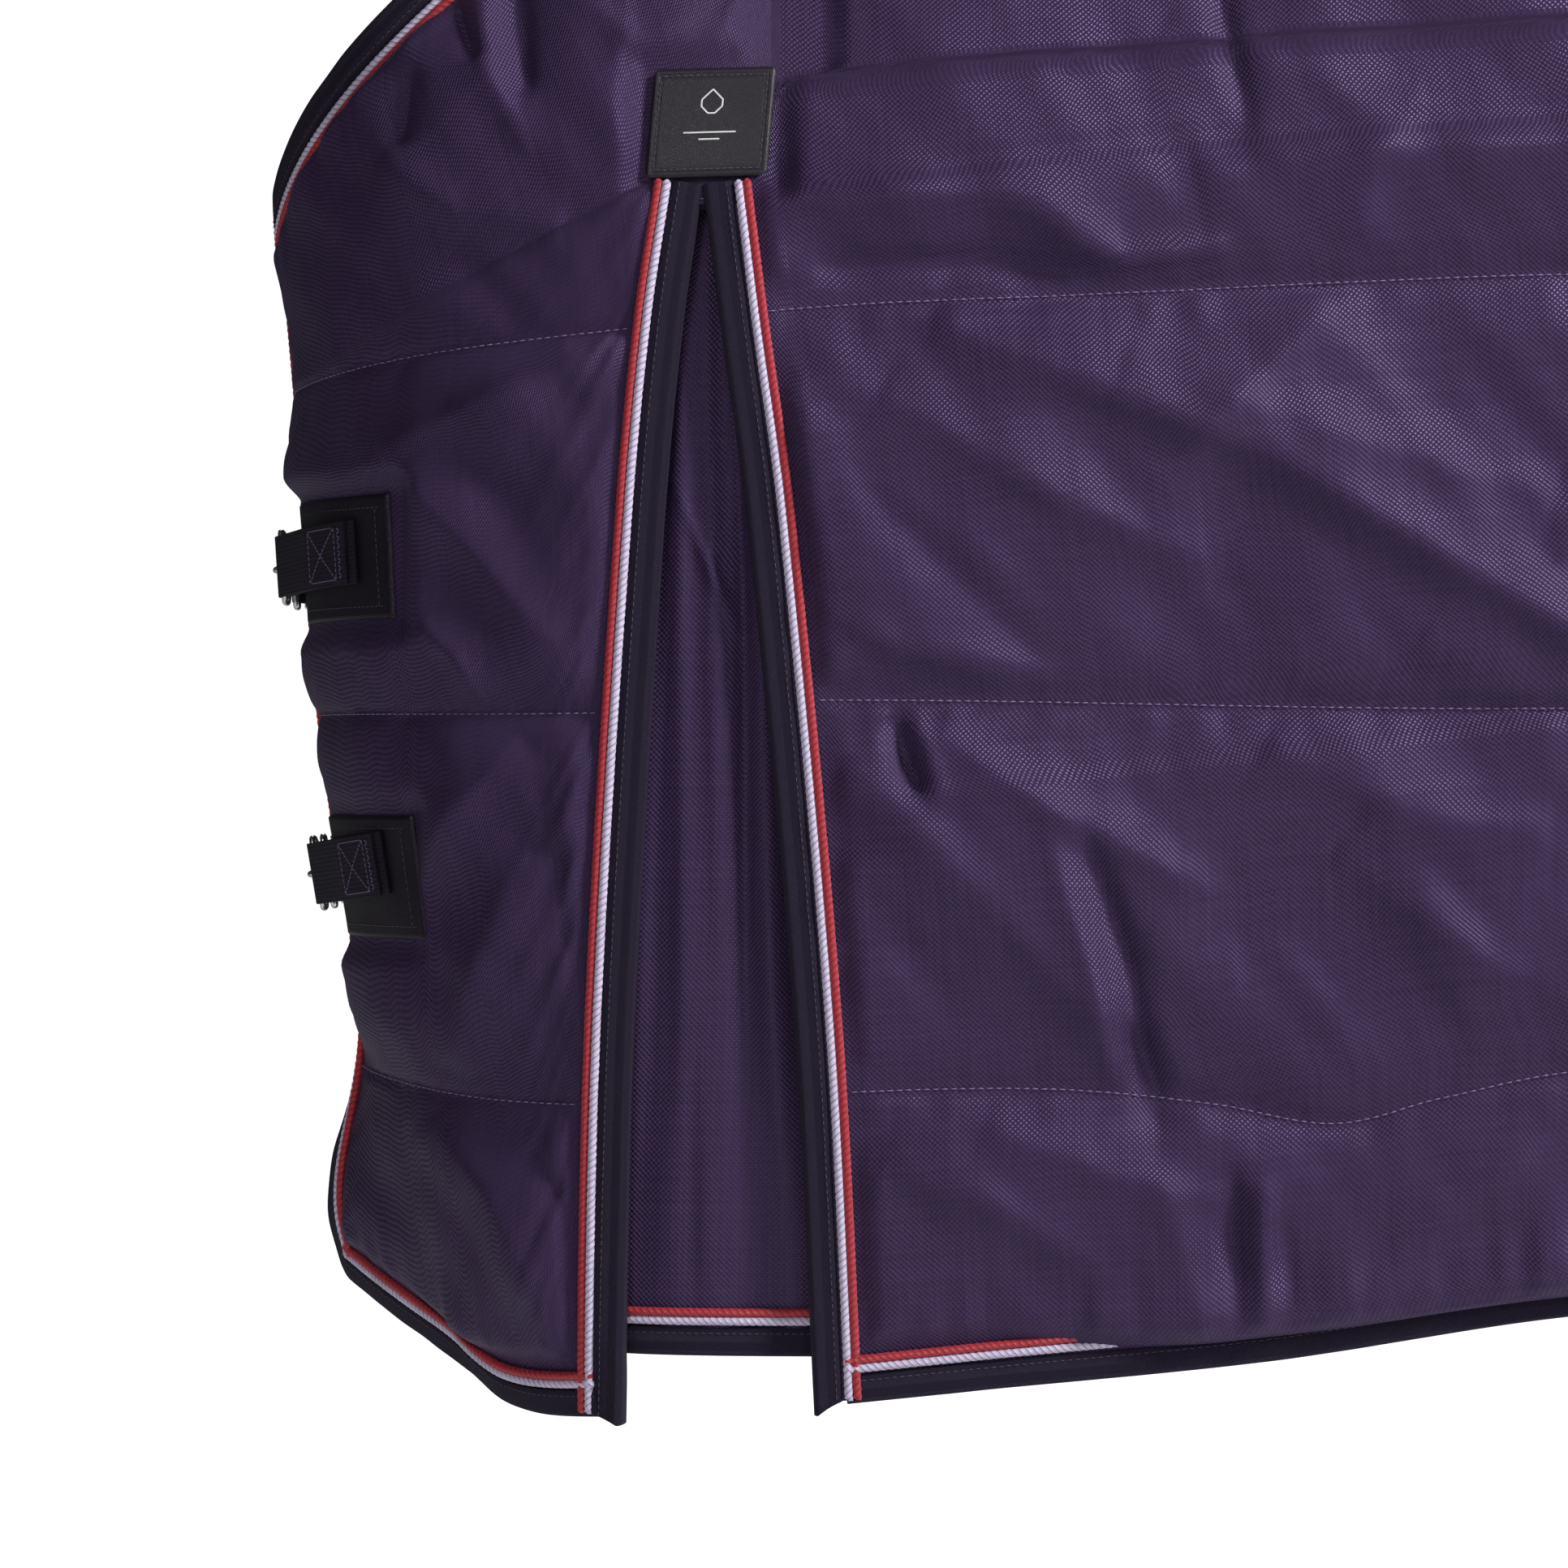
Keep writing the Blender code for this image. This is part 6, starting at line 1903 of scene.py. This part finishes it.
    def patch(self, side: Side, name: str) -> None:
        """A leatherette patch with a rolled rear edge and stitches just inside it.

        Args:
            side: The side that it is on.
            name: The CAD node that it stands for.
        """
        share_a, share_z = np.meshgrid(np.linspace(0, 1, 60), np.linspace(1, -1, 50))
        angle, z = 48.0 + 28.0 * share_a, self.z + share_z * self.patch_h / 2
        p = FORM.chest_point(angle, z, side)
        normal = grid_normals(p, np.array([-0.85, 0.0, self.z]))
        along = arc_coords(p)
        rim = np.minimum(np.minimum(along[..., 0], along[:, -1:, 0] - along[..., 0]),
                         np.minimum(along[..., 1], along[-1:, :, 1] - along[..., 1]))
        lift = 0.0009 + 0.0015 * np.sqrt(np.clip(rim / 0.0013, 0, 1))
        lift += 0.0016 * np.exp(-(((along[..., 0] - 0.0022) / 0.0014) ** 2))
        lift += 0.0006 * noise(along[..., 0] / 0.025, along[..., 1] / 0.03, 9)
        work = Patchwork()
        work.add(p + normal * lift[..., None], along, flip=side is Side.RIGHT)
        made = work.build(name + "_leather", self.finishes.leather)
        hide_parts(name)
        rows = Patchwork()
        top = p + normal * 0.0026
        for path, up in ((top[5, 4:-4], normal[5, 4:-4]), (top[-6, 4:-4], normal[-6, 4:-4]),
                         (top[5:-5, 6], normal[5:-5, 6]), (top[5:-5, -5], normal[5:-5, -5])):
            stitches(rows, path, up, 0.0030, 0.0012, 0.0006)
        rows.build(name + "_stitching", self.finishes.dark_thread)

    def cross_stitch(self, over: Array) -> None:
        """The box, cross and bar of stitches that hold the tab down.

        Args:
            over: The middle line of the tab's outer layer.
        """
        line = resample(over, 0.002)
        along = np.linspace(0, 1, len(line))
        tall = self.webbing / 2 - 0.0035
        rows = Patchwork()
        strokes = [((0.12, 1), (0.80, 1)), ((0.80, 1), (0.80, -1)), ((0.80, -1), (0.12, -1)),
                   ((0.12, -1), (0.12, 1)),
                   ((0.12, 1), (0.80, -1)), ((0.12, -1), (0.80, 1))]
        strokes += [((0.86 + 0.05 * (k % 2), 1 - k / 7), (0.86 + 0.05 * ((k + 1) % 2), 1 - (k + 1) / 7)) for k in range(14)]
        for (a, za), (b, zb) in strokes:
            share = np.linspace(0, 1, 24)
            at = a + (b - a) * share
            path = np.stack([np.interp(at, along, line[:, k]) for k in range(3)], -1)
            path[:, 2] += (za + (zb - za) * share) * tall
            ahead = tangents(line)[len(line) // 2]
            out = unit(np.cross(ahead, np.array([0.0, 0.0, 1.0])))
            out = out if out[0] < 0 else -out
            path = self.lean(path + out * (self.webbing_t / 2 + 0.0003))
            stitches(rows, path, np.broadcast_to(out, path.shape).copy(), 0.0026, 0.0008, 0.0007)
        rows.build(f"{self.name}_tab_stitching", self.finishes.thread)


# ---- surcingles ----------------------------------------------------------------------------------
@dataclass
class Surcingle:
    """A strap under the belly, from the right side to a hook and plate on the left side."""

    name: str
    left_x: float
    right_x: float
    belly_z: float
    finishes: Finishes
    width: float = 0.050
    thick: float = 0.0020
    anchor_z: float = -0.72
    plate_z: float = -0.815
    plate_offset: float = 0.0100
    ply: float = 0.0024

    def flank(self, x: float, z: Array, side: Side, offset: float) -> Array:
        """Points off the flank by an offset."""
        z = np.atleast_1d(np.asarray(z, float))
        return np.stack([np.full(z.shape, x), side.value * (FORM.half_width(np.full(z.shape, x), z) + offset), z], -1)

    def hang(self, path: Array, name: str, node: str) -> None:
        """A strap along a path in space, with its width as near to X as it can be.

        Args:
            path: The strap's middle line.
            name: The piece's name.
            node: The CAD node that it stands for.
        """
        path = resample(path, 0.004)
        ahead = tangents(path)
        across = unit(np.array([1.0, 0, 0]) - ahead * ahead[:, :1])
        up = np.cross(ahead, across)
        grid = sweep(path, across, up, strap_section(self.width, self.thick))
        work = Patchwork()
        work.add(grid)
        for end in (0, -1):
            work.add(np.stack([grid[end], grid[end].mean(0)[None].repeat(grid.shape[1], 0)]))
        made = work.build(name, self.finishes.webbing)
        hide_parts(node)

    def build(self) -> None:
        """Builds the short tab on the left and the long strap."""
        half = FORM.half_width(np.array(self.left_x), np.array(self.plate_z))
        plane = float(half) + self.plate_offset
        top_bar, low_bar = self.plate_z + 0.0145, self.plate_z - 0.0445
        hem = float(min(read_line(FORM.hem, self.left_x), read_line(FORM.hem, self.right_x)))
        loop = 0.0029 + 0.0003 + self.thick / 2
        lift = 0.0045
        bend = np.radians(np.linspace(180, 360, 13))
        turn = np.stack([np.full(13, self.left_x), -plane - loop * np.cos(bend), top_bar + loop * np.sin(bend)], -1)
        tab = [self.flank(self.left_x, np.linspace(self.anchor_z, top_bar + 0.022, 5), Side.LEFT, self.ply + lift), turn,
               self.flank(self.left_x, np.linspace(top_bar + 0.022, self.anchor_z - 0.006, 5), Side.LEFT,
                          self.ply + lift + self.thick + 0.0006)]
        self.hang(np.concatenate(tab), f"{self.name}_surcingle_tab_webbing",
                  f"{self.name}_surcingle_tab")
        a = np.radians(np.linspace(0, 180, 37))
        right = float(FORM.half_width(np.array(self.right_x), np.array(hem))) + 0.0080
        left = float(FORM.half_width(np.array(self.left_x), np.array(hem))) + 0.0080
        y = np.where(a < np.pi / 2, right, left) * np.sign(np.cos(a)) * np.abs(np.cos(a)) ** 0.6
        z = hem - 0.012 - (hem - 0.012 - self.belly_z) * np.sin(a) ** 0.8
        x = self.right_x + (self.left_x - self.right_x) * smooth((right - y) / (right + left))
        out = 0.0025 / 2 + 0.0005
        low_y = plane + out + 0.0025 / 2
        bend = np.radians(np.linspace(180, 0, 13))
        turn = np.stack([np.full(13, self.left_x), -low_y - loop * np.cos(bend), low_bar + loop * np.sin(bend)], -1)
        strap = [self.flank(self.right_x, np.linspace(self.anchor_z, hem + 0.060, 5), Side.RIGHT, 0.0075),
                 self.flank(self.right_x, hem + 0.020, Side.RIGHT, 0.0095), np.stack([x, y, z], -1),
                 self.flank(self.left_x, hem + 0.020, Side.LEFT, 0.0095), turn,
                 np.array([[self.left_x, -low_y - loop, low_bar - 0.060]])]
        self.hang(np.concatenate(strap), f"{self.name}_surcingle_strap_webbing",
                  f"{self.name}_surcingle_strap")
        self.box_stitch(Side.LEFT, self.left_x)
        self.box_stitch(Side.RIGHT, self.right_x)

    def box_stitch(self, side: Side, x: float) -> None:
        """The crossed box of stitches that holds a strap to the rug.

        Args:
            side: The side of the horse.
            x: X of the strap.
        """
        rows = Patchwork()
        a, low, high = self.width / 2 - 0.005, self.anchor_z - 0.040, self.anchor_z - 0.010
        lift = 0.0075 + self.thick / 2 + 0.0003 + (self.thick if side is Side.LEFT else 0.0)
        for start, stop in (((-a, high), (a, high)), ((a, high), (a, low)), ((a, low), (-a, low)),
                            ((-a, low), (-a, high)),
                            ((-a, high), (a, low)), ((a, high), (-a, low))):
            share = np.linspace(0, 1, 20)
            z = start[1] + (stop[1] - start[1]) * share
            path = self.flank(x, z, side, lift)
            path[:, 0] += start[0] + (stop[0] - start[0]) * share
            up = np.array([0.0, side.value, 0.0]) * np.ones_like(path)
            stitches(rows, path, up, 0.0034, 0.0012, 0.0009)
        rows.build(f"{self.name}_{side.label}_surcingle_stitching", self.finishes.thread)


# ---- tail flap -----------------------------------------------------------------------------------
@dataclass
class TailFlap:
    """The quilted flap over the tail, bound round its free edges."""

    finishes: Finishes
    top_half: float = 0.11
    half_w: float = 0.17
    length: float = 0.40
    x: float = 0.925
    clear: float = 0.014
    thick: float = 0.006

    def point(self, v: Array, w: Array) -> Array:
        """A point of the flap: v runs across it and w runs down it.

        Args:
            v: Place across it, from -1 to 1.
            w: Share of the way down it.

        Returns:
            The points.
        """
        top_y = v * self.top_half
        x = FORM.rear_top_x + self.clear
        turn = np.abs(top_y) / FORM.widest(FORM.rear_top_x)
        fall = read_line(FORM.drop, x) * (1 - np.sqrt(np.maximum(1 - turn ** (2 / read_line(FORM.ridge, x)), 0)))
        top = np.stack([np.full_like(v, x), top_y, read_line(FORM.spine, FORM.rear_top_x) - fall], -1)
        round_off = 1 - 0.10 * smooth(w, 0.8, 1.0) ** 2
        low_z = top[..., 2] - self.length + 0.03 * v**4
        low = np.stack([self.x - 0.03 * v * v, v * self.half_w * round_off, low_z], -1)
        knee_y = v * (self.top_half * 0.4 + self.half_w * 0.6)
        knee = np.stack([np.full_like(v, self.x + 0.01), knee_y, top[..., 2] - 0.02], -1)
        w = w[..., None]
        return top * (1 - w) ** 2 + knee * (2 * w * (1 - w)) + low * w**2

    def build(self) -> None:
        """Builds the flap's two faces and its binding."""
        v, w = np.meshgrid(np.linspace(-1, 1, 90), np.linspace(0, 1, 100))
        points = self.point(v, w)
        normals = grid_normals(points, np.array([0.5, 0.0, -0.5]))
        edge = panel_of(points, np.array([0.5, 0.0, -0.5]), np.ones(v.shape), "blr").edge
        near = np.abs(((w * 3) % 1) - 0.5) / 3 * self.length
        puff = 0.0035 * np.sqrt(np.clip(1 - near / 0.066, 0, 1))
        wave = noise(v / 0.25, w / 0.3, 41) * 0.003 + noise(v / 0.09 + w, w / 0.5, 42) * 0.0015
        height = (puff + wave + 0.002) * smooth(edge, 0.014, 0.035) * smooth(w, 0.0, 0.05)
        work = Patchwork()
        work.add(points + normals * height[..., None])
        work.add(points - normals * (self.thick + height * 0.1)[..., None], flip=True)
        rim = np.stack([points[0], points[0] - normals[0] * self.thick])
        work.add(rim)
        flap = work.build("tail_flap_cloth", self.finishes.shell, "tail_flap")
        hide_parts("tail_flap")
        index = [(points[:, 0], normals[:, 0]), (points[-1, 1:], normals[-1, 1:]),
                 (points[-2::-1, -1], normals[-2::-1, -1])]
        path, normal = (np.concatenate([pair[k] for pair in index]) for k in (0, 1))
        path = round_path(path, 0.004, 3)
        at = np.linspace(0, len(normal) - 1, len(path))
        normal = unit(np.stack([np.interp(at, np.arange(len(normal)), normal[:, k]) for k in range(3)], -1))
        inward = unit(np.cross(normal, tangents(path)))
        inward = inward if inward[len(path) // 2, 2] > 0 else -inward
        EdgeRun("tail_flap", path, inward, normal, stack=self.thick, cords=False,
                body="tail_flap").dress(self.finishes)


# ---- metalwork, floor, light and camera ----------------------------------------------------------
@dataclass
class Metalwork:
    """The plated parts, which keep their CAD shapes with softened edges."""

    finishes: Finishes
    round_parts: tuple[str, ...] = ("_d_ring", "_snap_gate")
    edged_parts: tuple[str, ...] = ("_snap_hook", "_swivel_eye", "_slider", "_surcingle_plate",
                                    "_surcingle_hook")

    def build(self) -> None:
        """Dresses every plated node."""
        for name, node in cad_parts.items():
            rounded = name.endswith(self.round_parts)
            if not rounded and not name.endswith(self.edged_parts):
                continue
            node.data.materials.clear()
            node.data.materials.append(self.finishes.steel)
            node.data.polygons.foreach_set("use_smooth", np.ones(len(node.data.polygons), bool))
            weld = node.modifiers.new("weld", "WELD")
            weld.merge_threshold = 0.00002
            if rounded:
                soften = node.modifiers.new("round", "SUBSURF")
                soften.levels = soften.render_levels = 1
            else:
                bevel = node.modifiers.new("soft_edges", "BEVEL")
                bevel.width, bevel.segments, bevel.angle_limit = 0.0005, 2, math.radians(40)
                bevel.limit_method = "ANGLE"
                bevel.harden_normals = True
            LOG.info("%s dressed as plated steel", name)


@dataclass
class Studio:
    """A pale floor, soft lights, a white surround and the camera."""

    floor_z: float = -1.62
    camera_at: tuple[float, float, float] = (-0.755, -2.85, -0.663)
    lens: float = 104.16

    def build(self) -> None:
        """Sets up the studio."""
        self.floor()
        self.surround()
        self.light("key", (1.75, -1.75, 1.35), (-0.45, -0.28, -0.60), 0.7, 150)
        self.light("front", (-1.6, -3.4, 0.9), (-0.75, -0.2, -0.6), 0.8, 30)
        self.light("low", (0.2, -3.2, -1.2), (-0.40, -0.25, -0.60), 0.9, 5)
        self.light("rim", (-0.4, 2.8, 1.8), (-0.3, 0.0, -0.3), 2.0, 80)
        data = bpy.data.cameras.new("camera")
        data.lens, data.sensor_width = self.lens, 36.0
        data.clip_start, data.clip_end = 0.05, 100.0
        camera = bpy.data.objects.new("camera", data)
        camera.location = self.camera_at
        camera.rotation_euler = (math.radians(90), 0, 0)
        bpy.context.scene.collection.objects.link(camera)
        bpy.context.scene.camera = camera
        bpy.context.scene.view_settings.view_transform = "Standard"

    def floor(self) -> None:
        """The pale floor."""
        mesh = bpy.data.meshes.new("studio_floor")
        side = 30.0
        corners = [(-side, -side, self.floor_z), (side, -side, self.floor_z),
                   (side, side, self.floor_z), (-side, side, self.floor_z)]
        mesh.from_pydata(corners, [], [(0, 1, 2, 3)])
        made = bpy.data.objects.new("studio_floor", mesh)
        bpy.context.scene.collection.objects.link(made)
        paint = bpy.data.materials.new("pale_floor")
        paint.use_nodes = True
        n = Nodes(paint.node_tree)
        shader = paint.node_tree.nodes["Principled BSDF"]
        coords = n.add("ShaderNodeTexCoord")
        mottle = n.span(n.noise(coords.outputs["Object"], 3.0, 3.0), 0.3, 0.7, 0.0, 1.0)
        n.link(n.blend(mottle, (0.90, 0.90, 0.90, 1), (0.93, 0.93, 0.93, 1)),
               shader.inputs["Base Color"])
        shader.inputs["Roughness"].default_value = 0.9
        seen = n.add("ShaderNodeLightPath").outputs["Is Camera Ray"]
        n.link(n.blend(seen, (0, 0, 0, 1), (1, 1, 1, 1)), shader.inputs["Emission Color"])
        shader.inputs["Emission Strength"].default_value = 1.0
        mesh.materials.append(paint)

    def surround(self) -> None:
        """The white surround: plain white to look at, and dimmer as a light."""
        world = bpy.data.worlds.new("white_surround")
        bpy.context.scene.world = world
        world.use_nodes = True
        n = Nodes(world.node_tree)
        back = world.node_tree.nodes["Background"]
        path = n.add("ShaderNodeLightPath")
        back.inputs["Color"].default_value = (1, 1, 1, 1)
        n.link(n.span(path.outputs["Is Camera Ray"], 0, 1, 0.04, 1.05), back.inputs["Strength"])

    def light(self, name: str, at: tuple, to: tuple, size: float, power: float) -> None:
        """A square area light aimed at a point.

        Args:
            name: Its name.
            at: Where it stands.
            to: Where it points.
            size: Its side.
            power: Its power, in watts.
        """
        data = bpy.data.lights.new(name, "AREA")
        data.size, data.energy = size, power
        made = bpy.data.objects.new(name, data)
        made.location = at
        made.rotation_mode = "QUATERNION"
        made.rotation_quaternion = (Vector(to) - Vector(at)).to_track_quat("-Z", "Y")
        bpy.context.scene.collection.objects.link(made)


def main() -> None:
    """Builds the rug's looks in order."""
    logging.basicConfig(level=logging.INFO, format="%(message)s")
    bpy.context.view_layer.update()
    Studio().build()
    finishes = Finishes()
    cloth = ClothBody()
    cloth.shell(finishes)
    Trims(cloth, finishes).build()
    QuiltStitching(cloth, finishes).build()
    Gussets(finishes).build()
    for side in Side:
        Badge(side, finishes).build()
    for name, z in (("upper", -0.529), ("lower", -0.718)):
        Fastener(name, z, finishes).build()
    Surcingle("front", -0.10, 0.20, -1.010, finishes).build()
    Surcingle("rear", 0.20, -0.10, -1.022, finishes).build()
    TailFlap(finishes).build()
    Metalwork(finishes).build()
    LOG.info("all pieces built")


if __name__ == "__main__":
    main()
